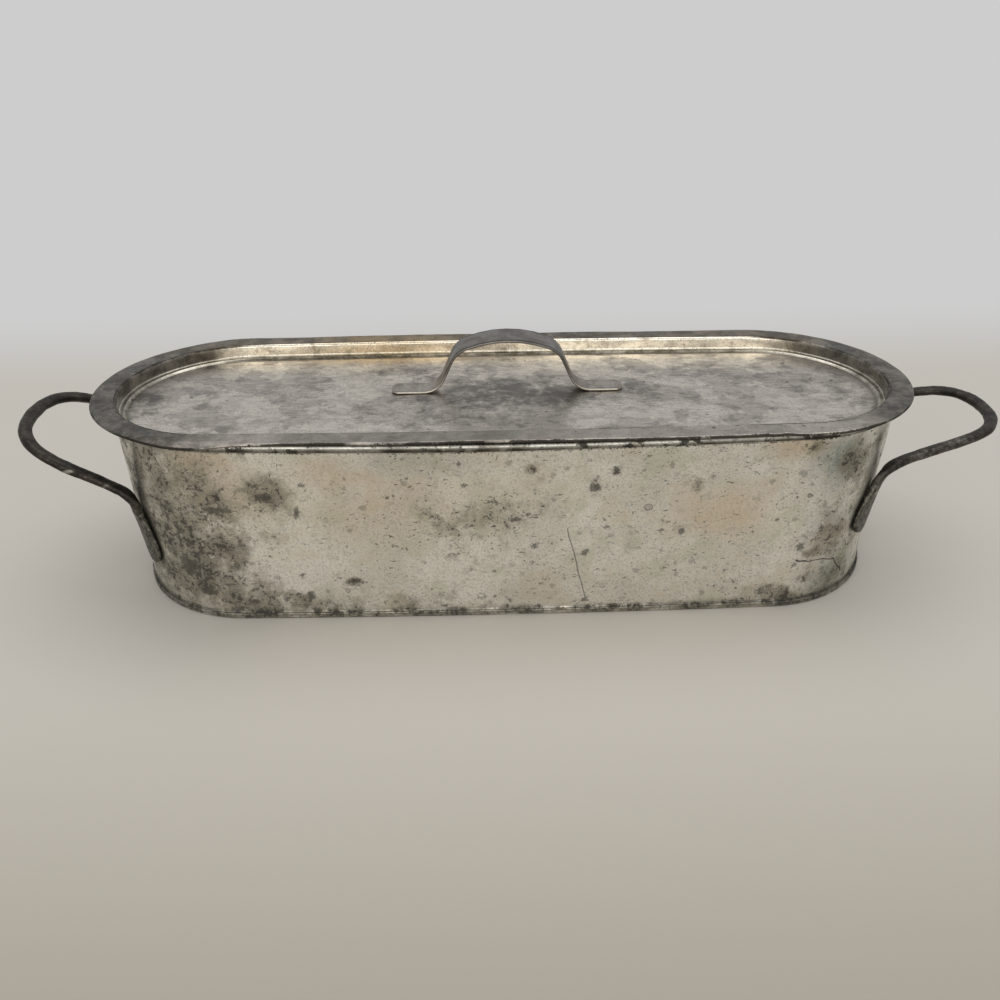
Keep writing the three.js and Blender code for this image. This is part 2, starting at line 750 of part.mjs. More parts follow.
// Whether a hole at this place stays in the plate and clear of the pads and the feet.
function holeFits(x, y) {
  const room = RACK_INSET - RACK_HEM / 2 - HOLE_MARGIN - HOLE_DIAMETER / 2;
  const { endX, endRadius, sideRadius, sideY } = RACK_OUTLINE;
  const inEnd = Math.abs(x) < endX || Math.hypot(Math.abs(x) - endX, y) < endRadius + room;
  const inSide = Math.hypot(x, Math.abs(y) - sideY) < sideRadius + room;
  const reach = HOLE_DIAMETER / 2 + HOLE_APART;
  const apart = (cx, cy, halfX, halfY) => (
    Math.abs(Math.abs(x) - cx) > halfX + reach || Math.abs(Math.abs(y) - cy) > halfY + reach
  );
  const padHalf = HOOP_PAD_LENGTH / 2 + HOOP_FOOT_RADIUS;
  return inEnd && inSide
    && apart(PAD_MIDDLE + HOOP_FOOT_RADIUS, HOOP_HALF_SPAN, padHalf, HOOP_PAD_WIDTH / 2)
    && apart(RACK_FOOT_X, RACK_FOOT_Y, footHalfLength(), RACK_FOOT_WIDTH / 2);
}

// Rows of holes along the rack, each row shifted by half a pitch from the next.
function holeSpots() {
  const spots = [];
  const rowPitch = HOLE_PITCH * Math.sin(degrees(60));
  const columns = Math.ceil(FOOT_HALF_LENGTH / HOLE_PITCH);
  for (let row = 0; row < HOLE_ROWS; row += 1) {
    const y = (row - (HOLE_ROWS - 1) / 2) * rowPitch;
    const shift = row % 2 === 0 ? HOLE_PITCH / 4 : -HOLE_PITCH / 4;
    for (let column = -columns; column <= columns; column += 1) {
      const x = column * HOLE_PITCH + shift;
      if (holeFits(x, y)) {
        spots.push([x, y]);
      }
    }
  }
  return spots;
}

function rackPlate() {
  const fold = (RACK_SHEET + LAYER_GAP) / 2;
  const hem = sheetSection(bentLine([RACK_INSET - RACK_HEM, -1.5 * RACK_SHEET - LAYER_GAP], 0, [
    { run: RACK_HEM - fold - RACK_SHEET / 2 },
    { bend: 180, radius: fold, every: FOLD_STEP },
    { run: RACK_HEM },
  ]), RACK_SHEET);
  const edge = carryRound(ALL_STATIONS, hem, () => RACK_OUTLINE);
  const shape = outlineShape(RACK_OUTLINE, RACK_INSET - RACK_HEM / 2);
  for (const [x, y] of holeSpots()) {
    const hole = new THREE.EllipseCurve(x, y, HOLE_DIAMETER / 2, HOLE_DIAMETER / 2);
    shape.holes.push(new THREE.Path(hole.getPoints(HOLE_SIDES).slice(1)));
  }
  const holes = rivetSpots().map(([x, y]) => (
    drill(x, y, RIVET_SHANK + 2 * CLEAR, -RACK_SHEET - DRILL_RUN, DRILL_RUN)
  ));
  return cut(join(edge, extrude(shape, RACK_SHEET, -RACK_SHEET)), holes);
}

// A rack handle, drawn at the right end: pads towards the middle, then up and across.
function rackHoop() {
  const seat = CLEAR + HOOP_PAD_THICKNESS / 2;
  const bendStart = HOOP_X - HOOP_FOOT_RADIUS;
  const padEnd = bendStart - HOOP_PAD_LENGTH;
  const legTop = HOOP_HEIGHT - HOOP_HALF_SPAN;
  const at = (x, y, z) => new THREE.Vector3(x, y, z);
  const y = -HOOP_HALF_SPAN;
  const pad = { width: HOOP_PAD_WIDTH, thickness: HOOP_PAD_THICKNESS, squareness: LEAF_SQUARENESS };
  const rings = HOOP_PAD_OUTLINE.map(([along, share]) => barRing({
    ...pad,
    centre: at(padEnd + along * HOOP_PAD_WIDTH, y, seat),
    tangent: at(1, 0, 0),
    normal: at(0, 0, 1),
    width: share * HOOP_PAD_WIDTH,
  }));
  const bar = { width: HOOP_BAR, thickness: HOOP_BAR, squareness: 2 };
  for (let i = 0; i <= HOOP_BEND_STEPS; i += 1) {
    const t = i / HOOP_BEND_STEPS;
    const s = Math.sin(t * Math.PI / 2);
    const c = Math.cos(t * Math.PI / 2);
    rings.push(barRing({
      centre: at(bendStart + HOOP_FOOT_RADIUS * s, y, seat + HOOP_FOOT_RADIUS * (1 - c)),
      tangent: at(c, 0, s),
      normal: at(-s, 0, c),
      width: lerp(pad.width, bar.width, t),
      thickness: lerp(pad.thickness, bar.thickness, t),
      squareness: lerp(pad.squareness, bar.squareness, t),
    }));
  }
  for (let i = 0; i <= HOOP_ARC_STEPS; i += 1) {
    const s = Math.sin((i / HOOP_ARC_STEPS) * Math.PI / 2);
    const c = Math.cos((i / HOOP_ARC_STEPS) * Math.PI / 2);
    rings.push(barRing({
      ...bar,
      centre: at(HOOP_X, -HOOP_HALF_SPAN * c, legTop + HOOP_HALF_SPAN * s),
      tangent: at(0, s, c),
      normal: at(-1, 0, 0),
    }));
  }
  const drills = rivetSpots().filter(([x]) => x > 0).map(([x, spotY]) => (
    drill(x, spotY, RIVET_SHANK + 2 * CLEAR, -DRILL_RUN, CLEAR + HOOP_PAD_THICKNESS + DRILL_RUN)
  ));
  return cut(skin(mirrorHalf(rings), BAR_CIRCLE), drills);
}

// A rivet: a domed head over the pad, the shank, and a flatter head under the plate.
function rackRivet() {
  const headBase = HOOP_PAD_THICKNESS + 2 * CLEAR;
  const tailBase = -RACK_SHEET - CLEAR;
  const head = new THREE.EllipseCurve(
    0, headBase, RIVET_HEAD / 2, RIVET_HEAD_HEIGHT, 0, Math.PI / 2,
  );
  const tail = new THREE.EllipseCurve(
    0, tailBase, RIVET_TAIL / 2, RIVET_TAIL_HEIGHT, -Math.PI / 2, 0,
  );
  const profile = [
    ...tail.getPoints(RIVET_STEPS),
    new THREE.Vector2(RIVET_SHANK / 2, tailBase),
    new THREE.Vector2(RIVET_SHANK / 2, headBase),
    ...head.getPoints(RIVET_STEPS),
  ];
  return new THREE.LatheGeometry(profile, DRILL_SIDES).rotateX(Math.PI / 2);
}

function footLine() {
  const drop = RACK_LIFT - 2 * CLEAR - RACK_FOOT_SHEET;
  return bentLine([0, 0], 0, [
    { run: RACK_FOOT_TAB },
    { bend: -90, radius: RACK_FOOT_BEND },
    { run: drop - 2 * RACK_FOOT_BEND },
    { bend: 90, radius: RACK_FOOT_BEND },
    { run: RACK_FOOT_TREAD },
    { bend: 90, radius: RACK_FOOT_BEND },
    { run: drop - 2 * RACK_FOOT_BEND },
    { bend: -90, radius: RACK_FOOT_BEND },
    { run: RACK_FOOT_TAB },
  ]);
}

function footHalfLength() {
  const line = footLine();
  return line[line.length - 1].x / 2;
}

// A foot, with z = 0 at its upper face.
function rackFoot() {
  const section = sheetSection(footLine(), RACK_FOOT_SHEET);
  const solid = extrude(new THREE.Shape(section), RACK_FOOT_WIDTH);
  return solid.rotateX(Math.PI / 2)
    .translate(-footHalfLength(), RACK_FOOT_WIDTH / 2, -RACK_FOOT_SHEET / 2);
}

function rack() {
  const group = new THREE.Group();
  group.add(piece('rack_plate', rackPlate(), tinnedSheet()));
  for (const [name, turn] of [['right', 0], ['left', Math.PI]]) {
    const hoop = piece(`rack_handle_${name}`, rackHoop(), darkIron());
    hoop.rotation.z = turn;
    group.add(hoop);
  }
  rivetSpots().forEach(([x, y], i) => {
    const rivet = piece(`rack_rivet_${i + 1}`, rackRivet(), brightWire());
    rivet.position.set(x, y, 0);
    group.add(rivet);
  });
  footSpots().forEach(([x, y], i) => {
    const foot = piece(`rack_foot_${i + 1}`, rackFoot(), tinnedSheet());
    foot.position.set(x, y, -RACK_SHEET - CLEAR);
    group.add(foot);
  });
  group.position.z = RACK_TOP;
  return group;
}

const fishKettle = new THREE.Group();
fishKettle.add(kettle(), rack(), lid());

export default fishKettle;
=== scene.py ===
"""An old fish kettle of tinned sheet steel: lid with a strap, bent iron handles, lift-out rack.

Shapes are worked out in millimetres, in the frame of the solids, and scaled when they enter
a mesh. X runs along the kettle, Y from its front to its back, Z up.
"""
import math
from functools import partial, reduce
from itertools import product

import bmesh
import bpy
import numpy as np
from mathutils import Matrix, Vector
from mathutils.geometry import delaunay_2d_cdt


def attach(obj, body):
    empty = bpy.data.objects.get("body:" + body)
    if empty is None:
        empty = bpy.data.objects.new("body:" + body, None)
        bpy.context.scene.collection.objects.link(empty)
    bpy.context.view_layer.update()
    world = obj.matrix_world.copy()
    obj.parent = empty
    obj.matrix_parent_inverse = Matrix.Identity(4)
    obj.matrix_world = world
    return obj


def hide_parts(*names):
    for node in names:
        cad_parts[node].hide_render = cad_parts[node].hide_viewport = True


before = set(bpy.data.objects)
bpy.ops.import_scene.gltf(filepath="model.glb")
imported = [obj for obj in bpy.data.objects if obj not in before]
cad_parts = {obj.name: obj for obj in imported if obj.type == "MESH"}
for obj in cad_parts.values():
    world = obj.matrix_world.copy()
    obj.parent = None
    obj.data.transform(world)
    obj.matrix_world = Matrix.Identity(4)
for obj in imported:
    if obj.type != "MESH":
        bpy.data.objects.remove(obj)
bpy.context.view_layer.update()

MM = 0.001
TAU = 2 * np.pi
# Points nearer to each other than this, in metres, are welded to one
WELD = 2e-6
# A bent sheet has a point for each so many degrees of a bend
BEND_STEP = 12

# Sizes of the solids that the dressed pieces follow
CLEAR = 0.3
BODY = {"height": 142.8, "sheet": 0.9, "foot": (282.2, 93.2, 2.2), "top": (287.2, 99.2, 7.3)}
RIM = {"wire": 3.0, "set_radius": 2.0, "set_angle": 30, "curl": 280}
BASE = {"sheet": 1.0, "lip": 1.8, "lip_height": 4.5, "edge": 1.2}
LID = {
    "outline": (300.0, 102.7, 2.7), "shift": -1.5, "sheet": 1.0, "hem": 5.0, "flange": 17.2,
    "drop": 9.4, "bend": 1.6, "ledge": 2.4, "step": 1.6, "fold": 0.65, "wavy": (285.0, 88.0),
}
LID_FOOT = BODY["height"] + CLEAR
FLANGE_TOP = LID_FOOT + 2 * LID["sheet"] + CLEAR
PANEL_TOP = FLANGE_TOP - LID["drop"] - LID["step"]
STRAP = {
    "sheet": 0.9, "crown_width": 27.0, "foot_width": 18.0, "hem": 3.6, "x": 1.5, "y": 10.0,
    "crown": (85.0, 21.0), "shoulder": 20.0, "leg_angle": 66.0, "leg": 16.5,
    "foot": 16.0, "foot_run": 24.0, "corner": 4.0, "fold": 0.55,
}
BAR = {"width": 9.2, "thickness": 6.6, "leaf_width": 24.0, "leaf_thickness": 3.2, "neck": 11.0}
LEFT_BOW = {
    "leaf": 42.0, "leaf_angle": 41.5, "root_angle": 38.3, "root_height": 84.4, "stand": 0.5,
    "tilt": 28.3, "reach": 92.5, "knee": 34.0, "pinch": 12.3, "half_width": 70.3, "lean": 4.0,
}
RIGHT_BOW = {
    "leaf": 38.0, "leaf_angle": 45.8, "root_angle": 38.3, "root_height": 96.0, "stand": 3.0,
    "tilt": 9.5, "reach": 100.5, "knee": 39.0, "pinch": 26.5, "half_width": 65.4, "lean": 8.8,
}
RACK = {
    "top": 24.2, "sheet": 1.2, "inset": -4.9, "hem": 6.0, "hole": 5.0, "pitch": 32.0,
    "margin": 9.0, "apart": 1.0,
}
HOOP = {
    "bar": 6.0, "inset": 40.0, "half_span": 34.0, "height": 86.0, "bend": 9.0, "pad": 30.0,
    "pad_width": 13.0, "pad_thickness": 2.4,
}
RIVET = {"apart": 12.0, "hole": 2.3, "shank": 2.0, "tail": (3.5, 1.3), "head": (4.0, 2.2)}
RACK_FOOT = {
    "sheet": 1.5, "width": 14.0, "bend": 2.5, "lift": 22.0, "at": (186.0, 54.0), "pad": 9.0,
    "sole": 12.0, "reach": 20.0,
}
HOOP_X = BODY["foot"][0] + RACK["inset"] - HOOP["inset"]
PAD_MIDDLE = HOOP_X - HOOP["bend"] - HOOP["pad"] / 2
RIVETS = [(side_x * (PAD_MIDDLE + along * RIVET["apart"] / 2), side_y * HOOP["half_span"])
          for side_x, side_y, along in product((-1, 1), repeat=3)]
# The rolled rim: the radius of the middle of its sheet, and the height of its centre
ROLL = RIM["wire"] / 2 + CLEAR + BODY["sheet"] / 2
ROLL_Z = BODY["height"] - ROLL - BODY["sheet"] / 2
# Half the lap of the wall's two sheets, at the middle of each end
LAP = 7.0
# About where the middle of each end's arc lies along X
END_MIDDLE = 194


# Shapes


def smooth(value, low, high):
    """0 below low, 1 above high, and three times the square less twice the cube between."""
    t = np.clip((value - low) / (high - low), 0, 1)
    return t * t * (3 - 2 * t)


def between(value, low, full, less, none):
    """Rises from 0 at low to 1 at full, and falls from 1 at less to 0 at none."""
    return smooth(value, low, full) * (1 - smooth(value, less, none))


def hump(value, middle, reach):
    """One at the middle, falling off as e to minus the square of the distance over reach."""
    return np.exp(-((value - middle) / reach) ** 2)


def blend(a, b, t):
    """The straight mix of a and b."""
    return a + (b - a) * t


def unit(vectors):
    """The vectors over their lengths."""
    return vectors / np.linalg.norm(vectors, axis=-1, keepdims=True)


def circle(turn):
    """Points of the circle of radius one, at these angles from the x axis."""
    return np.stack([np.cos(turn), np.sin(turn)], -1)


def ripple(points, wavelength, seed, waves=9):
    """The sum of plane sine waves in seeded directions, each near the wavelength, over the
    root of half their number, which makes its spread about one."""
    rng = np.random.default_rng(seed)
    way = unit(rng.normal(size=(waves, 3)))
    number = TAU / (wavelength * rng.uniform(0.7, 1.5, waves))
    phase = points @ (way * number[:, None]).T + rng.uniform(0, TAU, waves)
    return np.sin(phase).sum(-1) / math.sqrt(waves / 2)


def round_way(end_steps, side_steps, low=0.0, high=6.0):
    """Stations round an oblong, each the number of its arc plus the share of that arc: right
    rear end, rear side, left rear end, left front end, front side and right front end."""
    steps = [end_steps, side_steps, end_steps] * 2
    way = np.concatenate([i + np.arange(n) / n for i, n in enumerate(steps)] + [[6.0]])
    return np.unique(np.clip(way, low, high))


def arcs(outline):
    """An oblong's arcs: the ends' radius r and the x of their centres, e, then the sides'
    radius and the y of the rear one's centre. With half length l, half width w and bulge b,
    r is w - b, e is l - r, and the sides touch the ends at (e e + w w - r r) / 2 b."""
    half_length, half_width, bulge = outline
    end_radius = half_width - bulge
    end_x = half_length - end_radius
    side_radius = (end_x**2 + half_width**2 - end_radius**2) / (2 * bulge)
    return end_radius, end_x, side_radius, half_width - side_radius


def oblong(way, outline, offset):
    """Points x, y of four tangent arcs moved outwards by offset. A station's angle is mixed
    between the angles at which its arc starts and stops."""
    end_radius, end_x, side_radius, side_y = arcs(outline)
    joint = np.arctan2(-side_y, end_x)
    zero = joint * 0
    knots = [zero, joint, np.pi - joint, zero + np.pi, np.pi + joint, TAU - joint, zero + TAU]
    arc = np.minimum(way.astype(int), 5)
    along = way - arc
    angle = np.choose(arc, knots[:6]) * (1 - along) + np.choose(arc, knots[1:]) * along
    on_side = (arc == 1) | (arc == 4)
    radius = np.where(on_side, side_radius, end_radius) + offset
    side = np.where((arc == 0) | (arc == 5), 1, -1)
    x = np.where(on_side, 0, side * end_x) + radius * np.cos(angle)
    y = np.where(on_side, np.where(arc == 1, 1, -1) * side_y, 0) + radius * np.sin(angle)
    return x, y


def body_outline(z):
    """The wall's outer face at a height: the foot's and the top's outlines, mixed."""
    t = z / BODY["height"]
    return tuple(blend(low, high, t) for low, high in zip(BODY["foot"], BODY["top"]))


RACK_OUTLINE = body_outline(BASE["sheet"] + CLEAR)


def end_station(arc, length):
    """The station on an end's arc that lies a length along the wall from the end's middle."""
    share = length / (arcs(BODY["foot"])[0] * np.pi / 2)
    return arc + share if arc in (0, 3) else arc + 1 - share


def bent_line(start, heading, steps):
    """The middle line of a bent sheet: straight runs of a length, with a count of points, and
    bends by an angle on a radius, which start along the line's heading. Returns rows of x, y
    and heading."""
    x, y = start
    turn = math.radians(heading)
    rows = [(x, y, turn)]
    for kind, size, *more in steps:
        if kind == "run":
            count = more[0] if more else 1
            for i in range(1, count + 1):
                rows.append((x + size * math.cos(turn) * i / count,
                             y + size * math.sin(turn) * i / count, turn))
            x, y = rows[-1][:2]
        else:
            radius = more[0]
            side = math.copysign(1, size)
            centre = (x - side * radius * math.sin(turn), y + side * radius * math.cos(turn))
            count = max(3, math.ceil(abs(size) / BEND_STEP))
            first = turn
            for i in range(1, count + 1):
                turn = first + math.radians(size) * i / count
                x = centre[0] + side * radius * math.sin(turn)
                y = centre[1] - side * radius * math.cos(turn)
                rows.append((x, y, turn))
    return np.array(rows)


def sheet_section(line, thickness):
    """The line moved to its right by half the thickness, then back along its left."""
    x, y, turn = line.T
    half = thickness / 2
    right = np.stack([x + half * np.sin(turn), y - half * np.cos(turn)], 1)
    left = np.stack([x - half * np.sin(turn), y + half * np.cos(turn)], 1)
    return right, left[::-1]


# Meshes


def add_piece(name, shape, material, body, node, smooth_angle=38):
    """Puts a mesh into the scene, with its faces outwards, on a body, for the node it stands
    for. Its shape is its points, its faces and its attributes, one number for each point."""
    points, faces, attributes = shape
    flat = points.reshape(-1, 3)
    triangles = np.concatenate([faces[:, [0, 1, 2]], faces[:, [0, 2, 3]]])
    a, b, c = (flat[triangles[:, i]] for i in range(3))
    if np.einsum("ij,ij->", a, np.cross(b, c)) < 0:
        faces = faces[:, ::-1]
    mesh = bpy.data.meshes.new(name)
    mesh.from_pydata(flat * MM, [], [list(dict.fromkeys(face)) for face in faces.tolist()])
    for key, values in attributes.items():
        mesh.attributes.new(key, "FLOAT", "POINT").data.foreach_set("value", values.ravel())
    shell = bmesh.new()
    shell.from_mesh(mesh)
    bmesh.ops.remove_doubles(shell, verts=shell.verts, dist=WELD)
    shell.to_mesh(mesh)
    shell.free()
    mesh.validate()
    mesh.shade_smooth()
    mesh.set_sharp_from_angle(angle=math.radians(smooth_angle))
    mesh.materials.append(material)
    piece = bpy.data.objects.new(name, mesh)
    bpy.context.scene.collection.objects.link(piece)
    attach(piece, body)
    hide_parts(node)


def grid_faces(points, rows_close=True, columns_close=False):
    """The four corners of each cell of a grid of points, counted row by row. Where the rows
    or the columns close, the last is followed by the first."""
    rows, columns = points.shape[:2]
    here = np.arange(rows * columns).reshape(rows, columns)
    after = np.roll(here, -1, 0)
    cells = np.stack([here, after, np.roll(after, -1, 1), np.roll(here, -1, 1)], -1)
    return cells[:rows - 1 + rows_close, :columns - 1 + columns_close].reshape(-1, 4)


def tube_faces(points):
    """The cells between rings of points in turn. Each end is closed by a strip of cells
    between its ring's first half and its second half, read backwards."""
    rows, columns = points.shape[:2]
    i = np.arange(columns // 2 - 1)
    cap = np.stack([i, i + 1, columns - 2 - i, columns - 1 - i], 1)
    return np.concatenate([grid_faces(points, False, True), cap,
                           cap[:, ::-1] + (rows - 1) * columns])


def carry_round(way, section, outline_at):
    """A section carried round an oblong: its x is the offset outwards, its y the height."""
    x, y = oblong(way[:, None], outline_at(section[None, :, 1]), section[None, :, 0])
    z = np.broadcast_to(section[None, :, 1], x.shape)
    return np.stack([x, y, z], -1)


def fill_in(way, offset, outline, height, share):
    """Rings that close a flat middle: each point of the ring at that offset is mixed with the
    nearest point of the line between the centres of the two ends, by the shares in turn."""
    x, y = (v[:, None] for v in oblong(way, outline, offset))
    end_x = arcs(outline)[1]
    middle = np.clip(x, -end_x, end_x)
    inner = middle + (x - middle) * share
    return np.stack([inner, y * share, height + 0 * inner], -1)


# Materials

USUAL = {"MapRange": {"interpolation_type": "SMOOTHSTEP"}, "Mix": {"data_type": "RGBA"}}


def linear(colour):
    """A colour written as sRGB hex digits, as linear light."""
    parts = np.array([int(colour[i:i + 2], 16) for i in (1, 3, 5)]) / 255
    light = np.where(parts <= 0.04045, parts / 12.92, ((parts + 0.055) / 1.055) ** 2.4)
    return (*light.tolist(), 1.0)


def add_node(tree, kind, sockets=(), output=None, **settings):
    """Adds a node with its settings and links. The operation, if it has one, follows its kind.
    Numbers, colours in hex digits and outputs of other nodes go to its sockets in order, or
    by name. Gives the named output, or the first in use."""
    kind, *operation = kind.split()
    node = tree.nodes.new("ShaderNode" + kind)
    for key, value in [*USUAL.get(kind, {}).items(), *settings.items(),
                       *(("operation", name) for name in operation)]:
        setattr(node, key, value)
    usable = [socket for socket in node.inputs if socket.enabled]
    named = {socket.name: socket for socket in usable}
    for key, value in sockets.items() if isinstance(sockets, dict) else enumerate(sockets):
        socket = named[key] if isinstance(key, str) else usable[key]
        if isinstance(value, bpy.types.NodeSocket):
            tree.links.new(value, socket)
        else:
            socket.default_value = linear(value) if isinstance(value, str) else value
    return node.outputs[output] if output else [o for o in node.outputs if o.enabled][0]


def start_material(name, roughness, metallic, attributes=""):
    """A material with one Principled shader. Gives it with the way to add nodes to it, the
    place on the piece to draw on, and the piece's attributes named."""
    material = bpy.data.materials.new(name)
    material.use_nodes = True
    add = partial(add_node, material.node_tree)
    shader = material.node_tree.nodes["Principled BSDF"]
    shader.inputs["Roughness"].default_value = roughness
    shader.inputs["Metallic"].default_value = metallic
    facts = [add("Attribute", output="Fac", attribute_name=key) for key in attributes.split()]
    return material, add, add("TexCoord", output="Object"), facts


def finish(material, add, colour, rough, height, depth, **others):
    """Joins the colour, the roughness and a bump so many millimetres deep to the shader."""
    bump = add("Bump", {"Height": height, "Distance": depth * MM})
    inputs = material.node_tree.nodes["Principled BSDF"].inputs
    for name, value in {
        "Base Color": colour, "Roughness": rough, "Normal": bump, **others,
    }.items():
        material.node_tree.links.new(value, inputs[name])
    return material


def spots(add, place, spacing, share, size):
    """Round spots in seeded places about so many millimetres apart. A share of the places
    has one, up to the size given as a share of the spacing."""
    near = add("TexVoronoi", {"Vector": place, "Scale": 1 / (spacing * MM)})
    chance = add("SeparateColor", [near.node.outputs["Color"]])
    radius = add("MapRange", [chance, 1 - share, 1.0, 0.0001, size])
    edge = add("Math MULTIPLY", [radius, 0.55])
    return add("MapRange", [near, edge, radius, 1.0, 0.0], interpolation_type="LINEAR")


def rings(add, place, spacing, share, size):
    """Spots like those above, with a darker rim than middle, as a boiled-dry drop leaves."""
    value = spots(add, place, spacing, share, size)
    return add("Math MULTIPLY", [add("MapRange", [value, 0.0, 0.25]),
                                 add("MapRange", [value, 0.35, 0.85, 1.0, 0.45])])


def dashes(add, place, angle, size, low, high):
    """Short dark dashes where noise is high that is drawn out to four times its size, in a
    direction turned by so many radians about each axis."""
    turned = add("Mapping", {"Vector": place, "Rotation": angle, "Scale": (0.25, 1, 1)})
    noise = add("TexNoise", {
        "Vector": turned, "Scale": 1 / (size * MM), "Detail": 3, "Roughness": 0.6,
    })
    return add("MapRange", [noise, low, high])


def warped(add, place, size, amount):
    """The place pushed about by noise of that size, by up to half the amount each way."""
    push = add("TexNoise", {"Vector": place, "Scale": 1 / (size * MM), "Detail": 2}, "Color")
    centred = add("VectorMath SUBTRACT", [push, (0.5, 0.5, 0.5)])
    return add("VectorMath MULTIPLY_ADD", [centred, (amount * MM,) * 3, place])


def scratch(add, place, start, end, width):
    """A fine line on the front wall from one point to another, both as x and z in
    millimetres: 1 on the line, 0 a width away from it."""
    run, rise = end[0] - start[0], end[1] - start[1]
    half = math.hypot(run, rise) / 2 * MM
    straight = add("Mapping", {
        "Vector": place, "Location": (start[0] * MM, 0, start[1] * MM),
        "Rotation": (0, -math.atan2(rise, run), 0),
    }, vector_type="TEXTURE")
    along = add("SeparateXYZ", [straight]).node.outputs
    from_middle = add("Math ABSOLUTE", [add("Math SUBTRACT", [along["X"], half])])
    near = add("Math MAXIMUM", [
        add("Math ABSOLUTE", [along["Z"]]), add("Math SUBTRACT", [from_middle, half]),
    ])
    return add("Math MULTIPLY", [
        add("MapRange", [near, width * 0.3 * MM, width * MM, 1.0, 0.0]),
        add("MapRange", [along["Y"], -40 * MM, -60 * MM]),
    ])


def most(add, *marks):
    """The largest of several numbers, each alone or times a strength."""
    values = [add("Math MULTIPLY", m) if isinstance(m, tuple) else m for m in marks]
    return reduce(lambda a, b: add("Math MAXIMUM", [a, b]), values)


def hot_dipped_wall():
    """Sheet steel dipped in tin, long used: a pale, faintly yellow metal, satin rather than
    mirror bright. It is clouded over a hand's breadth, mottled over a centimetre, freckled
    where the tin has gone and the steel has darkened, brown where it was overheated, and
    black where fat was burnt on. Where the piece marks them, it also carries painted shade
    in creases, under edges and at the ends, and a painted reflection of the handles."""
    material, add, place, (brink, grime, spot, scorch, cool, streak) = start_material(
        "hot_dipped_tinplate", 0.36, 1.0, "brink grime spot scorch cool streak")
    bent = warped(add, place, 8, 6)
    cloud, mottle, fleck, blot, clump, tint = (
        add("TexNoise", {"Vector": at, "Scale": 1 / (size * MM), "Detail": detail,
                         "Roughness": rough, "Distortion": twist})
        for at, size, detail, rough, twist in (
            (place, 55, 5, 0.62, 0.5), (bent, 13, 8, 0.74, 0), (place, 1.5, 4, 0.66, 0),
            (bent, 4.4, 6, 0.72, 0.8), (bent, 24, 5, 0.6, 0), (bent, 34, 5, 0.6, 0)))
    grime, scorch, cool, streak = (
        add("Math MULTIPLY", [fact, add("MapRange", broken)]) for fact, broken in (
            (grime, [clump, 0.32, 0.68, 0.45, 1.3]), (scorch, [mottle, 0.7, 0.36, 0.6]),
            (cool, [mottle, 0.64, 0.4, 0.3]), (streak, [mottle, 0.3, 0.55, 0.6])))
    speck = add("Math MULTIPLY_ADD", [fleck, 0.9, add("Math MULTIPLY", [blot, 0.3])])
    # film, veil and soot follow the dirt mask, which at the ends also holds painted shade; ragged
    # makes dark flecks of dirt and of painted shade along the roll, under the lid's edge and at
    # the base's foot
    film, veil, soot, ragged, gate, stain = (
        add("MapRange", [add("Math MULTIPLY_ADD", terms), *span]) for terms, span in (
            ([mottle, 1.2, grime], (0.72, 1.3, 0.0, 0.62)),
            ([grime, 0.32, mottle], (0.6, 0.88, 0.0, 0.55)), ([grime, 0.17, blot], (0.64, 0.71)),
            ([fleck, 0.9, brink], (0.95, 1.1)), ([grime, 0.2, cloud], (0.38, 0.62, 0.35)),
            ([spot, 0.6, speck], (0.8, 1.0, 0.0, 0.75))))
    scuffs = most(add, *(
        dashes(add, bent, (0, turn, 0), size, low, high) for turn, size, low, high in (
            (0.7, 2.0, 0.64, 0.71), (-0.5, 1.5, 0.65, 0.72), (1.5, 1.6, 0.65, 0.72))))
    crack = warped(add, place, 12, 7)
    pits = most(
        add, (spots(add, bent, 11, 0.5, 0.2), 0.7),
        (spots(add, warped(add, place, 5, 7), 10, 0.7, 0.3), 0.42),
        (spots(add, bent, 3.0, 0.5, 0.32), add("Math MULTIPLY", [gate, 0.75])),
        (rings(add, bent, 19, 0.55, 0.16), 0.7), (scuffs, gate),
        (scratch(add, warped(add, place, 20, 3), (40, 73), (54, 13), 0.7), 0.75),
        scratch(add, crack, (206, 38), (236, 34), 0.8),
        scratch(add, crack, (236, 34), (249, 17), 0.8))
    dark = most(add, soot, pits, ragged, stain)
    colour = add("Mix", [add("MapRange", [cloud, 0.36, 0.66]), "#f3f0e7", "#e1ddd2"])
    for amount, over in (
        (add("MapRange", [mottle, 0.5, 0.7, 0.0, 0.36]), "#aca79b"),
        (add("MapRange", [fleck, 0.42, 0.7, 0.0, 0.46]), "#928e84"),
        (add("MapRange", [tint, 0.52, 0.66, 0.0, 0.5]), "#d8cbb9"),
        (add("MapRange", [tint, 0.48, 0.34, 0.0, 0.5]), "#c9cab4"),
        (scorch, "#cfb28a"), (cool, "#7d8582"), (film, "#8a8471"), (veil, "#716c61"),
        # streak adds the handles' painted reflection and painted shade, and the roll's grey with
        # painted shade on its lower half; dark adds painted shade along the roll and the base's
        # foot
        (streak, "#403c33"), (add("Math MULTIPLY", [dark, 0.86]), "#2f2b24"),
    ):
        colour = add("Mix", [amount, colour, over])
    rough = add("MapRange", [mottle, 0.3, 0.7, 0.32, 0.46])
    rough = add("Math MULTIPLY_ADD", [dark, 0.25, rough])
    height = add("Math MULTIPLY_ADD", [pits, -0.7, add("Math MULTIPLY", [mottle, 0.8])])
    return finish(material, add, colour, rough, height, 0.13,
                  Metallic=add("Math MULTIPLY_ADD", [soot, -0.6, 0.92]))


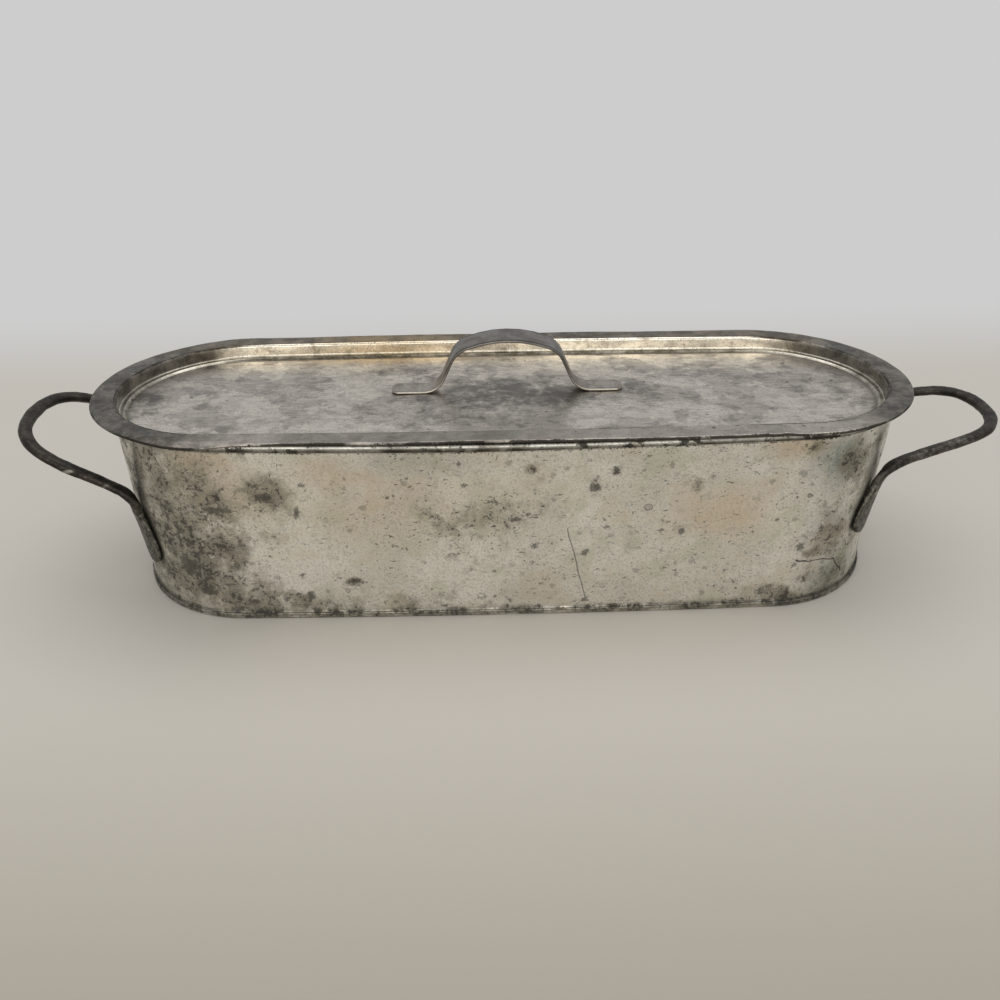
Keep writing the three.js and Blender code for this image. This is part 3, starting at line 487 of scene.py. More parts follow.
def tarnished_lid():
    """The same tinplate on the lid, greyer from steam and wiping. Its panel is streaked
    lengthwise and has dark patches, and its flange has gone an even dark grey. The walls of
    its recess are a brighter pale tin, partly their own colour and partly a painted
    highlight, greyer at the ends, and its folded edge and the bend into the recess carry
    painted shade."""
    material, add, place, facts = start_material(
        "tarnished_tinplate", 0.4, 1.0, "panel recess grime tarnish ends scorch groove brink")
    panel, recess, grime, tarnish, ends, scorch, groove, brink = facts
    bent = warped(add, place, 14, 9)
    long = add("Mapping", {"Vector": bent, "Scale": (0.2, 1, 1)})
    wiped = add("Mapping", {"Vector": bent, "Rotation": (0, 0, 1.15), "Scale": (0.35, 1, 1)})
    sheen, island, smear, streak, mottle, fleck = (
        add("TexNoise", {"Vector": at, "Scale": 1 / (size * MM), "Detail": detail,
                         "Roughness": rough})
        for at, size, detail, rough in (
            (bent, 46, 6, 0.6), (bent, 19, 6, 0.66), (wiped, 9, 5, 0.6), (long, 2.4, 6, 0.72),
            (bent, 15, 8, 0.74), (place, 1.6, 4, 0.66)))
    mixed = 0.0
    for span in ([sheen, 0.485, 0.525, 0.0, 0.36], [island, 0.52, 0.56, 0.0, 0.24],
                 [smear, 0.52, 0.55, 0.0, 0.16], [streak, 0.32, 0.7, 0.0, 0.4]):
        mixed = add("Math ADD", [add("MapRange", span), mixed])
    top, pale, grey, bright = (
        add("Mix", [share, light, dull]) for share, light, dull in (
            (mixed, "#ded7cc", "#87827d"), (mixed, "#e2dbcf", "#97918a"),
            (add("MapRange", [mottle, 0.36, 0.6]), "#7f7971", "#3e3b36"),
            (add("MapRange", [mottle, 0.48, 0.66]), "#f0ebdd", "#b5ad9b")))
    # ragged makes dark flecks of dirt, and of painted shade along the folded edge and at the bend
    # into the recess
    soot, ragged = (
        add("MapRange", [add("Math MULTIPLY_ADD", terms), *span]) for terms, span in (
            ([grime, 0.32, mottle], (0.56, 0.84, 0.0, 0.85)), ([fleck, 0.9, brink], (0.95, 1.1))))
    scorch, groove = (
        add("Math MULTIPLY", [fact, add("MapRange", broken)]) for fact, broken in (
            (scorch, [mottle, 0.66, 0.4, 0.4]), (groove, [mottle, 0.3, 0.6, 0.7, 1.0])))
    pits = most(add, (spots(add, bent, 9, 0.4, 0.2), 0.7), (ragged, 0.85),
                (dashes(add, bent, (0, 0, 0), 1.6, 0.67, 0.73), 0.6),
                (dashes(add, bent, (0, 0, 0.9), 1.2, 0.68, 0.74), 0.5))
    colour = add("Mix", [tarnish, pale, grey])
    for amount, over in (
        (panel, add("Mix", [soot, top, "#54504d"])),
        # the recess walls: pale tin and a painted highlight, greyer at the ends
        (recess, add("Mix", [ends, bright, grey])),
        (scorch, "#b99c66"), (groove, "#453f30"),
        (add("MapRange", [fleck, 0.42, 0.72, 0.0, 0.5]), "#75706a"),
        (pits, "#37322b"),
    ):
        colour = add("Mix", [amount, colour, over])
    rough = add("MapRange", [mixed, 0.2, 0.8, 0.31, 0.44])
    rough = add("Math MULTIPLY_ADD", [recess, -0.14, rough])
    rough = add("Math MULTIPLY_ADD", [ragged, 0.3, rough])
    height = add("Math MULTIPLY_ADD", [pits, -0.7, mottle])
    return finish(material, add, colour, rough, height, 0.13)


def grey_sheet_with_edge_highlight():
    """Tinned sheet gone grey from years of hands and heat: a dull even grey, with a painted
    highlight of brighter metal along a folded edge where the piece marks one."""
    material, add, place, (rub, crown, grime) = start_material(
        "grey_sheet_painted_edge_highlight", 0.42, 1.0, "rub crown grime")
    cloud, grain = (
        add("TexNoise", {"Vector": place, "Scale": 1 / (size * MM), "Detail": detail,
                         "Roughness": rough})
        for size, detail, rough in ((14, 5, 0.6), (1.8, 4, 0.66)))
    share = add("MapRange", [cloud, 0.35, 0.65])
    colour = add("Mix", [share, "#a8a29a", "#827c75"])
    for amount, over in (
        (crown, add("Mix", [share, "#84807c", "#68645f"])),
        (add("MapRange", [grain, 0.4, 0.7, 0.0, 0.5]), "#54514e"),
        # the painted highlight along the folded edge, broken by the clouds
        (add("Math MULTIPLY", [rub, add("MapRange", [cloud, 0.3, 0.5, 0.5])]), "#cfc9bb"),
        (grime, "#2c2823"),
    ):
        colour = add("Mix", [amount, colour, over])
    return finish(material, add, colour, add("MapRange", [cloud, 0.3, 0.7, 0.36, 0.5]), cloud,
                  0.06)


def blackened_iron():
    """Wrought iron bar blackened by fire and grease: nearly black brown with a low sheen, scale
    pits a millimetre or two across, and paler grey where the piece marks worn spots and a
    painted highlight."""
    material, add, place, (leaf, rub) = start_material(
        "blackened_wrought_iron", 0.5, 0.85, "leaf rub")
    lump, scale_marks, patch = (
        add("TexNoise", {"Vector": place, "Scale": 1 / (size * MM), "Detail": detail,
                         "Roughness": rough})
        for size, detail, rough in ((9, 5, 0.6), (2.0, 4, 0.6), (4.2, 6, 0.7)))
    colour, on_leaf = (
        add("Mix", [add("MapRange", span), one, other])
        for span, one, other in (([lump, 0.4, 0.65], "#2f2b28", "#47413b"),
                                 ([patch, 0.4, 0.6], "#716e64", "#3c3933")))
    # worn spots and the painted highlight, with patches of grey
    rub = add("Math MULTIPLY_ADD", [rub, 0.42, add("Math MULTIPLY", [patch, 0.6])])
    for amount, over in (
        (leaf, on_leaf), (add("MapRange", [scale_marks, 0.56, 0.7, 0.0, 0.6]), "#23201d"),
        (add("MapRange", [rub, 0.4, 0.86]), "#a9a49a"),
    ):
        colour = add("Mix", [amount, colour, over])
    rough = add("MapRange", [scale_marks, 0.35, 0.65, 0.36, 0.6])
    height = add("Math MULTIPLY_ADD", [lump, 0.7, add("Math MULTIPLY", [scale_marks, 0.4])])
    return finish(material, add, colour, rough, height, 0.35)


def worked_metal(name, pale, dull, dark, size, roughness, wear):
    """A metal in three colours: dull in clouds of that many millimetres over pale, with dark
    flecks and spots where its coat has gone, which the wear makes more or fewer."""
    material, add, place, _ = start_material(name, roughness, 1.0)
    bent = warped(add, place, size / 2, size / 3)
    cloud, fleck = (
        add("TexNoise", {"Vector": at, "Scale": 1 / (grain * MM), "Detail": detail,
                         "Roughness": 0.66})
        for at, grain, detail in ((bent, size, 6), (place, 1.6, 4)))
    flecks = add("MapRange", [
        add("Math MULTIPLY_ADD", [cloud, 0.6, fleck]), 0.94 - 0.2 * wear, 1.08 - 0.2 * wear,
    ])
    marks = most(add, (flecks, 0.8), spots(add, bent, 7, 0.4, 0.22),
                 rings(add, bent, 21, 0.5, 0.2), dashes(add, bent, (0, 0, 0.3), 1.8, 0.67, 0.73))
    colour = add("Mix", [add("MapRange", [cloud, 0.38, 0.62]), pale, dull])
    colour = add("Mix", [marks, colour, dark])
    rough = add("MapRange", [cloud, 0.35, 0.65, roughness - 0.06, roughness + 0.06])
    rough = add("Math MULTIPLY_ADD", [marks, 0.2, rough])
    height = add("Math MULTIPLY_ADD", [marks, -0.6, cloud])
    return finish(material, add, colour, rough, height, 0.12)


WALL_TIN = hot_dipped_wall()
LID_TIN = tarnished_lid()
STRAP_SHEET = grey_sheet_with_edge_highlight()
IRON = blackened_iron()
# Hot-dipped sheet that stood in simmering stock: dull, yellow grey, freckled with dark steel
RACK_TIN = worked_metal("simmered_tinplate", "#d9d3c3", "#a8a190", "#3f3a31", 26, 0.4, 0.5)
# Drawn bar dipped in tin with the rack: paler where hands lift it, rough, with bare iron spots
HOOP_TIN = worked_metal("hot_dipped_bar", "#c2bdb1", "#938e83", "#45403a", 12, 0.42, 0.45)
# Soft iron rivets hammered after tinning: grey bright heads, dark round the edge of the blow
RIVET_IRON = worked_metal("hammered_rivet_iron", "#b3ada3", "#78736b", "#332f2a", 4, 0.36, 0.5)
# Drawn and annealed wire: an even dark grey skin with lighter patches where it rubs the roll
WIRE = worked_metal("annealed_iron_wire", "#7d7973", "#55514c", "#2b2723", 9, 0.48, 0.6)


# Stains


def soft_spots(u, v, table):
    """One number for each point: every row of the table is a middle u, v, its reaches along
    them and a strength, which fades as the square of 1 less the squared distance, and the
    strengths add up as 1 less the product of what each leaves."""
    left = np.ones_like(u)
    for u0, v0, reach_u, reach_v, strength in table:
        near = 1 - ((u - u0) / (1.35 * reach_u)) ** 2 - ((v - v0) / (1.35 * reach_v)) ** 2
        left = left * (1 - strength * np.clip(near, 0, 1) ** 2)
    return 1 - left


# Where the front wall is stained: x and z of the middle, reach along them, and strength
WALL_GRIME = [
    (-235, 80, 90, 70, 0.5), (-180, 96, 60, 40, 0.3), (-190, 14, 70, 14, 0.6),
    (-229, 44, 36, 30, 0.9), (-206, 54, 22, 16, 0.8), (-168, 104, 20, 14, 0.7),
    (-198, 91, 18, 18, 0.5), (-212, 24, 48, 26, 0.75), (-243, 76, 26, 40, 0.55),
    (-250, 110, 22, 24, 0.4), (-150, 12, 40, 12, 0.6), (-111, 31, 9, 5, 0.95),
    (-50, 82, 16, 20, 0.4), (-18, 66, 40, 34, 0.4), (57, 108, 9, 9, 0.75),
    (15, 122, 5, 5, 0.8), (71, 119, 5, 5, 0.8), (128, 106, 10, 12, 0.5),
    (112, 72, 20, 8, 0.45), (216, 58, 24, 22, 0.38), (202, 11, 7, 9, 1.0),
    (183, 13, 18, 10, 0.7), (214, 22, 8, 5, 0.8), (238, 116, 14, 16, 0.75),
    (246, 60, 26, 60, 0.25), (236, 18, 22, 16, 0.25), (204, 131, 12, 8, 0.7),
    (0, 95, 40, 26, 0.26), (-52, 96, 30, 40, 0.2), (-70, 12, 70, 12, 0.4),
]
WALL_SPOTS = [
    (15, 122, 3, 3, 0.9), (71, 120, 3.4, 3.2, 1), (57, 107, 5.5, 4.5, 1), (58, 114, 4, 2.5, 0.7),
    (128, 106, 4, 6, 0.6), (102, 102, 4, 3, 0.6), (67, 74, 4.5, 2.4, 0.8), (53, 83, 3, 2, 0.6),
    (105, 70, 3, 2.6, 0.9), (110, 77, 2.6, 2.2, 0.8), (120, 68, 3.6, 4, 0.9),
    (17, 60, 4, 4, 0.9), (52, 52, 4, 3.4, 0.9), (15, 46, 2.4, 2.2, 0.9), (62, 38, 2.2, 2, 0.8),
    (26, 31, 4, 4, 0.6), (67, 22, 3.4, 3, 0.7), (54, 11, 4.2, 3, 1), (75, 5, 6, 3, 0.9),
    (36, 4, 7, 2, 0.8), (154, 32, 2, 2, 1), (148, 20, 2, 1.6, 0.8), (110, 37, 3, 3, 0.6),
    (221, 64, 3.4, 7, 0.7), (207, 51, 5, 5, 0.9), (205, 35, 3, 3, 1), (203, 12, 2.6, 7, 1),
    (183, 13, 6, 6, 0.7), (185, 84, 5, 6, 0.4), (216, 20, 4, 3, 0.9), (160, 136, 11, 2, 0.7),
    (204, 131, 4.6, 4, 0.8), (104, 132, 3, 2, 0.7), (3, 82, 7, 3, 0.9), (12, 86, 2.6, 2.6, 0.8),
    (-34, 127, 3, 3, 0.7), (-44, 116, 2.4, 1.8, 0.9), (-31, 110, 4, 2.2, 1),
    (-83, 102, 3, 2, 0.8), (-13, 133, 3, 3, 0.6), (-140, 111, 3.4, 3, 0.9),
    (-146, 90, 2.6, 7, 0.9), (-131, 85, 4, 2.4, 0.6), (-155, 126, 3, 5, 0.6),
    (-111, 32, 8, 2.6, 1), (-148, 37, 3.6, 2.2, 0.9), (-144, 19, 3.4, 6, 1),
    (-141, 6, 5, 3.4, 0.9), (-169, 53, 2.6, 2.4, 0.9), (-167, 101, 9, 5, 0.9),
    (-171, 110, 5, 4, 0.7), (-204, 91, 10, 4.5, 0.9), (-210, 84, 4, 4, 0.8),
    (-194, 91, 5, 3, 0.8), (-230, 40, 9, 9, 1), (-221, 53, 3, 3, 0.9), (-217, 23, 12, 8, 0.8),
    (-233, 45, 6, 8, 0.7), (-231, 70, 5, 5, 0.7), (-214, 64, 3, 3, 0.9), (-197, 59, 5, 3.4, 0.7),
    (-50, 84, 9, 9, 0.4), (-12, 96, 9, 3.4, 0.7), (-38, 54, 4.4, 3.2, 0.7),
    (-21, 16, 6, 7, 0.5), (-83, 12, 3.2, 2, 0.8), (-51, 19, 4.4, 4.4, 0.5), (-48, 8, 5, 2.4, 0.8),
    (-197, 8, 9, 3, 0.9), (-185, 14, 6, 3.2, 0.9), (-162, 16, 4.4, 3, 0.9),
]
WALL_HEAT = [
    (152, 83, 34, 26, 0.55), (-207, 131, 24, 12, 0.5), (-124, 122, 30, 16, 0.4),
    (-189, 106, 40, 30, 0.36), (193, 132, 26, 12, 0.5), (-101, 89, 70, 34, 0.25),
    (-20, 110, 90, 30, 0.15),
]
WALL_COOL = [
    (227, 118, 24, 26, 0.9), (236, 20, 24, 20, 0.7), (228, 66, 22, 26, 0.4),
    (-60, 128, 60, 12, 0.3),
]


def handle_reflection_and_shade(points):
    """Painted shade beside the handles' leaves, and a painted reflection of each handle as a soft
    dark streak from it up to the rim. A point's place is its angle round the end from the
    middle, and its height."""
    x, y, z = np.moveaxis(points, -1, 0)
    angle = np.degrees(np.arctan2(np.abs(y), np.maximum(np.abs(x) - END_MIDDLE, 1)))
    root, leaf, middle = (np.where(x < 0, LEFT_BOW[key], RIGHT_BOW[key])
                          for key in ("root_height", "leaf", "leaf_angle"))
    streak = hump(angle - 0.19 * (z - root), 39, 2.4)
    streak = 0.8 * streak * smooth(z, root - 14, root + 2) * (1 - 0.5 * smooth(z, 105, 138))
    up = (z - root + BAR["neck"] + leaf) / leaf
    width = np.interp(up, [0, 0.1, 0.25, 0.45, 0.75, 1], [0.5, 0.86, 1, 0.98, 0.76, 0.45])
    beside = np.abs(angle - blend(middle, LEFT_BOW["root_angle"], np.clip(up, 0, 1)))
    beside = hump(beside - 7.5 * width, 0.7, 1.3) * between(up, -0.1, 0.06, 0.95, 1.2)
    return np.maximum(streak, 0.85 * beside)


def wall_facts(points, outer=1.0):
    """The front's stains are on its outer face and fade out behind the middle. All round, the
    foot is grimy for the lowest centimetre and the rolled rim in seeded places. The ends are
    darker than the sides as painted shade, and the roll and the handles' leaves carry painted
    shade and painted reflections."""
    x, y, z = np.moveaxis(points, -1, 0)
    front = smooth(-y, 10, 60) * outer
    foot = 0.55 * (1 - smooth(z, 3, 12))
    # Painted shade: the ends are darkened more than the sides, for the darker surroundings they
    # mirror.
    ends = (0.54 - 0.06 * np.sign(x)) * smooth(np.abs(x), 185, 270)
    clouds = 0.4 * smooth(ripple(points, 90, 71), 0.4, 2.0) * (1 - 0.6 * front)
    grime = soft_spots(x, z, WALL_GRIME) * front
    grime = 1 - (1 - grime) * (1 - foot) * (1 - ends) * (1 - clouds)
    patches = 0.35 + 0.15 * ripple(points, 22, 73) + 0.14 * ripple(points, 7, 75)
    # The roll is greyed all over, and its lower half is darker still as painted shade.
    dull = smooth(z, 136.2, 137.4) * (0.44 + 0.1 * ripple(points, 34, 77)
                                      + 0.42 * (1 - smooth(z, 139.2, 140.8)))
    # Darkened: a painted shadow of the lid's edge along the top of the roll, dirt in seeded
    # patches on the roll, and painted shade in the crease below the roll.
    brink = np.maximum.reduce([
        0.66 * smooth(z, 141.6, 142.4), patches * smooth(z, 136, 137.4),
        0.56 * (1 - smooth(np.abs(z - 135.3), 0.4, 1.6)),
    ])
    return {
        "grime": grime, "brink": np.maximum(brink, 0),
        "spot": soft_spots(x, z, WALL_SPOTS) * front,
        "scorch": soft_spots(x, z, WALL_HEAT) * front,
        # the handles' painted reflection and painted shade, and the roll's grey with painted
        # shade below
        "streak": np.maximum(handle_reflection_and_shade(points) * outer, dull),
        "cool": soft_spots(x, z, WALL_COOL) * front,
    }


# Where the lid's panel is dark: x and y of the middle, reach along them, and strength
LID_GRIME = [
    (0, -2, 95, 42, 0.8), (-4, 12, 34, 22, 0.75), (41, -5, 30, 20, 0.65), (98, 4, 28, 24, 0.7),
    (-70, 10, 30, 24, 0.4),
    (-92, 44, 70, 20, 0.5), (-269, 0, 24, 26, 0.8), (-230, 66, 36, 14, 0.7),
    (192, 27, 60, 22, 0.3), (246, 0, 26, 50, 0.45), (-62, -32, 9, 26, 0.7),
    (-27, -48, 50, 12, 0.5), (110, -66, 150, 8, 0.4),
]


def lid_facts(points, out):
    """The lid's stains, and which part of it each point is on, by how far out it is. The
    flange is tarnished all round, but much less along the near side, where hands have rubbed it.
    Its folded edge and a fine line at the bend into the recess are darkened as painted shade,
    dirt sits on the recess wall near the strap and on the upper bend at the ends, and the
    fold round the panel is darker."""
    x, y, z = np.moveaxis(points, -1, 0)
    inward, flange = -np.broadcast_to(out, x.shape), LID["flange"]
    scorch = smooth(y, 58, 76) * (0.12 + 0.45 * hump(x, -95, 60))
    near = smooth(-y, 50, 80) * (1 - smooth(-x, 170, 235)) * (1 - smooth(x, 225, 270))
    near = near * (1 - 0.4 * hump(x, -50, 110))
    far = smooth(np.abs(x), 185, 235)
    panel = smooth(inward, flange + 5.4, flange + 7)
    worn = hump(x, -105, 55) + hump(x, 95, 50)
    wall = between(inward, flange - 1.4, flange - 0.6, flange, flange + 0.7)
    brink = np.maximum.reduce([
        # Darkened: painted shade in a fine line at the bend into the recess, dirt on the recess
        # wall near the strap and on the upper bend at the ends, and painted shade along the
        # folded edge, darkest at its outer edge.
        (0.72 + 0.16 * ripple(points, 40, 74)) * hump(inward, flange - 2, 0.9),
        0.5 * worn * wall,
        far * smooth(z, FLANGE_TOP - 2, FLANGE_TOP - 0.8)
        * (0.66 + 0.14 * ripple(points, 18, 78)) * hump(inward, flange - 0.7, 1.1),
        (0.4 + 0.1 * ripple(points, 12, 76)) * (1 - smooth(inward, 0.9, 2.4))
        + (0.34 + 0.16 * ripple(points, 45, 79)) * (1 - smooth(inward, 0.2, 0.7)),
    ])
    return {
        "grime": soft_spots(x, y, LID_GRIME), "scorch": scorch, "panel": panel,
        "recess": smooth(inward - 1.4 * far, flange - 1.4, flange - 0.6) * (1 - panel),
        "tarnish": 1 - 0.62 * near,
        "ends": 0.8 * smooth(np.abs(x), 205, 250)
        * (1 - smooth(inward, flange + 0.6, flange + 1.6)),
        "groove": between(inward, flange + 1.9, flange + 2.6, flange + 7.6, flange + 9.2)
        * (1 - 0.42 * far),
        "brink": brink,
    }


# The kettle's body


def wall_section():
    """The wall from its foot up, set in below the rim, then rolled out round the wire."""
    bend = ROLL_Z - (ROLL + RIM["set_radius"]) * math.sin(math.radians(RIM["set_angle"]))
    foot = BASE["sheet"] + CLEAR
    return sheet_section(bent_line((-BODY["sheet"] / 2, foot), 90, [
        ("run", bend - foot, 60),
        ("bend", RIM["set_angle"], RIM["set_radius"]),
        ("bend", -RIM["curl"], ROLL),
    ]), BODY["sheet"])


def wall(way):
    """One wall sheet: its section carried along a way. Below the rim the sheet waves in and
    out by a third of a millimetre, as hand-formed sheet does, and along the left half of the
    front the roll is pressed less tight and hangs lower by under a millimetre."""
    right, left = wall_section()
    section = np.concatenate([right, left])
    flat = carry_round(way, section, body_outline)
    z = flat[..., 2]
    free = between(z, 6, 30, 112, 134)
    wave = ripple(flat * [1, 1, 0.8], 95, 11) * 0.3 + ripple(flat, 38, 12) * 0.08
    x, y = oblong(way[:, None], body_outline(z), section[None, :, 0] + wave * free)
    slack = between(x, -235, -195, -20, 60) * smooth(-y, 60, 90)
    slack = slack * between(z, 131, 135, 137, 140.5)
    points = np.stack([x, y, z - 0.9 * slack], -1)
    outer = np.repeat([1.0, 0.0], [len(right), len(left)])
    return points, tube_faces(points), wall_facts(points, outer)


for name, way in (
    ("front", round_way(64, 200, end_station(3, LAP), end_station(5, LAP))),
    ("rear", np.concatenate([
        np.linspace(end_station(5, LAP - CLEAR), 6, 6)[:-1],
        round_way(64, 200, 0, end_station(3, LAP - CLEAR)),
    ])),
):
    add_piece(f"wall_{name}_sheet", wall(way), WALL_TIN, "kettle", f"wall_{name}")


def base():
    """The base as one skin: its underside out to the folded edge, up and over that, and back
    along the kettle's floor."""
    way = round_way(64, 150)[:-1]
    outer, edge, top = CLEAR + BASE["lip"], BASE["edge"], BASE["lip"] / 2
    round_edge = circle(np.radians(np.arange(-90, 106, 15)))
    # the foot's round edge, the lip's top, and the solder from it to the wall
    section = np.concatenate([
        [outer - edge, edge] + edge * round_edge[:7],
        [outer - top, BASE["lip_height"] - top] + top * round_edge[6:],
        [[CLEAR + 0.5, BASE["lip_height"]], [0.05, BASE["lip_height"] + 1.1],
         [0.05, BASE["sheet"]]],
    ])
    foot = body_outline(0.0)
    points = np.concatenate([
        fill_in(way, outer - edge, foot, 0.0, np.linspace(0, 1, 12)[:-1]),
        carry_round(way, section, body_outline),
        fill_in(way, CLEAR, foot, BASE["sheet"], np.linspace(1, 0, 12)[1:]),
    ], 1)
    z = points[..., 2]
    facts = wall_facts(points)
    facts["grime"] = facts["grime"] + 0.3 * smooth(z, 0.2, 2)
    # A thin dark line at the very bottom is painted shade where the base meets the floor; the
    # rest of the lip has dirt.
    facts["brink"] = 0.26 + 0.12 * ripple(points, 40, 80) + 0.5 * (1 - smooth(z, 0.4, 1.1))
    # Painted shade on the lip's rounded top and in the solder fillet above it, over a slight
    # darkening of the whole base.
    facts["streak"] = 0.1 + 0.3 * smooth(z, 2.9, 3.8) + 0.36 * smooth(z, 4.2, 4.6)
    return points, grid_faces(points), facts


add_piece("base_sheet", base(), WALL_TIN, "kettle", "base_plate")


# The end handles


def wall_point(angle, z, offset):
    """The point of the right end's wall at an angle to the front of its middle."""
    radius, end_x = arcs(body_outline(z))[:2]
    angle = np.radians(angle)
    x = end_x + (radius + offset) * np.cos(angle)
    return np.stack([x, -(radius + offset) * np.sin(angle), z + 0 * x], -1)


def bar_rings(centre, normal, width, thickness, square, curl, sides=28):
    """Sections of a bar: a superellipse of the width and thickness across the path, whose
    edges fall back from the normal by the curl times the square of their distance. The path
    ends on the middle plane, square to it, and is mirrored there."""
    tangent = np.gradient(centre, axis=0)
    tangent[-1] = [0, 1, 0]
    tangent = unit(tangent)
    up = unit(normal - tangent * np.einsum("ij,ij->i", normal, tangent)[:, None])
    across = np.cross(tangent, up)
    turn = circle(TAU * (np.arange(sides) + 0.5) / sides)
    w, h = (size[:, None] / 2 * np.sign(part) * np.abs(part) ** (2 / square[:, None])
            for size, part in ((width, turn[:, 0]), (thickness, turn[:, 1])))
    h = h - curl[:, None] * w * w
    rings = centre[:, None] + across[:, None] * w[..., None] + up[:, None] * h[..., None]
    return np.concatenate([rings, rings[:-1][::-1] * [1, -1, 1]])


def end_handle(bend, side, seed, worn):
    """A bar bent to a bow by a cubic curve from its root on the wall to its tip, mirrored.
    Below the root it turns down the wall, in a curve of three points, and spreads into a
    leaf. Hammer marks push its skin in and out by a quarter of a millimetre."""
    slope = math.radians(bend["tilt"])
    outwards = np.array([math.cos(slope), 0, math.sin(slope)])
    root = wall_point(bend["root_angle"], bend["root_height"],
                      CLEAR + BAR["thickness"] / 2 + bend["stand"])
    flat_root = np.array([root[0], 0, root[2]])
    corners = np.array([
        root,
        flat_root + [0, root[1] + bend["pinch"], 0] + outwards * bend["knee"],
        flat_root + [0, -bend["half_width"], 0] + outwards * bend["reach"],
        flat_root + outwards * bend["reach"],
    ])

    def bow(t):
        """The cubic curve of the four corners, at the shares t of it."""
        t = np.atleast_1d(t)[:, None]
        return ((1 - t) ** 3 * corners[0] + 3 * t * (1 - t) ** 2 * corners[1]
                + 3 * t * t * (1 - t) * corners[2] + t**3 * corners[3])

    fine = bow(np.linspace(0, 1, 400))
    bow_start = BAR["neck"] / np.linalg.norm(np.diff(fine, axis=0), axis=1).sum()
    # the leaf, from its foot at 0 up to the root at 1: the lowest parts lie closer together
    up_leaf = np.linspace(0, 1, 60) ** 1.6
    leaf_thickness = blend(BAR["leaf_thickness"], BAR["thickness"], up_leaf**2)
    leaf = wall_point(blend(bend["leaf_angle"], bend["root_angle"], up_leaf),
                      bend["root_height"] - BAR["neck"] - bend["leaf"] * (1 - up_leaf),
                      CLEAR + leaf_thickness / 2)
    # its width rounds out like a quarter circle, then narrows towards the root
    rounded = 0.28
    foot = np.sqrt(np.clip(1 - (1 - up_leaf / rounded) ** 2, 0.02, 1))
    share = np.where(up_leaf < rounded, foot, blend(1, 0.45, smooth(up_leaf, 0.35, 1.15) * 1.06))
    leaf_width = BAR["leaf_width"] * share
    t = np.linspace(0, 1, 22)[1:, None]
    neck = (1 - t) ** 2 * leaf[-1] + 2 * t * (1 - t) * root + t**2 * bow(bow_start)
    rest = bow(np.linspace(bow_start, 1, 90)[1:])
    angle = np.radians(blend(bend["leaf_angle"], bend["root_angle"], up_leaf))
    wall_normal = np.stack([np.cos(angle), -np.sin(angle), 0 * angle], 1)
    bow_normal = np.array([math.sin(slope), 0, -math.cos(slope)])
    thinned = 0.03
    thin_foot = np.sqrt(np.clip(1 - (1 - up_leaf / thinned) ** 2, 0.05, 1))

    def joined(*parts):
        """The values for the leaf, the neck and the bow, one after the other."""
        return np.concatenate([part + np.zeros((len(line), *np.shape(part)[1:]))
                               for part, line in zip(parts, (leaf, neck, rest))])

    whole = bar_rings(
        joined(leaf, neck, rest),
        joined(wall_normal, blend(wall_normal[-1], bow_normal, smooth(t, 0, 1)),
               bow_normal[None]),
        joined(leaf_width, blend(leaf_width[-1], BAR["width"], t[:, 0]), BAR["width"]),
        joined(leaf_thickness * np.where(up_leaf < thinned, thin_foot, 1), BAR["thickness"],
               BAR["thickness"]),
        joined(3.0, blend(3.0, 2.4, t[:, 0]), 2.4),
        joined(1, 1 - t[:, 0], 0) / (2 * arcs(BODY["top"])[0]),
    )
    middle = whole.mean(1, keepdims=True)
    marks = ripple(whole, 17, seed) * 0.11 + ripple(whole, 7, seed + 1) * 0.05
    ends = np.minimum(np.arange(len(whole)), np.arange(len(whole))[::-1])
    marks = marks * smooth(ends, len(leaf) * 0.7, len(leaf) + 10)[:, None]
    whole = whole + unit(whole - middle) * marks[..., None]
    whole[..., 1] += bend["lean"] * smooth(whole[..., 0] - root[0], 0, bend["reach"])
    whole = whole * [side, side, 1]
    # Painted highlight: the lower side of the bar is made paler; the listed places are worn to
    # grey metal.
    below = smooth((middle - whole)[..., 2], 0.5, 2.5)
    rub = 0.45 * below * (1 + 0.5 * ripple(whole, 30, seed + 2))
    for x, y, z, reach, strength in worn:
        gap = np.linalg.norm((whole - [x, y, z]) * [0.6, 1.4, 1.4], axis=-1)
        rub = np.maximum(rub, strength * (1 - smooth(gap, reach * 0.2, reach)))
    on_root = 1 - smooth(ends, len(leaf) - 6, len(leaf) + 12)[:, None] + 0 * rub
    return whole, tube_faces(whole), {"rub": np.clip(rub, 0, 1.6), "leaf": on_root}


for name, bend, side, seed, worn in (
    ("left", LEFT_BOW, -1, 31, [(-310, -59, 106.5, 4, 1.1), (-286, -59, 94.5, 3.6, 1.1)]),
    ("right", RIGHT_BOW, 1, 41, [
        (331, -42, 104, 26, 0.5), (305, -52, 96, 28, 0.5), (280, -60, 89, 18, 0.6),
        (268, -63, 78, 6, 1.1),
    ]),
):
    add_piece(f"iron_handle_{name}", end_handle(bend, side, seed, worn), IRON, "kettle",
              f"handle_{name}")


# The lid


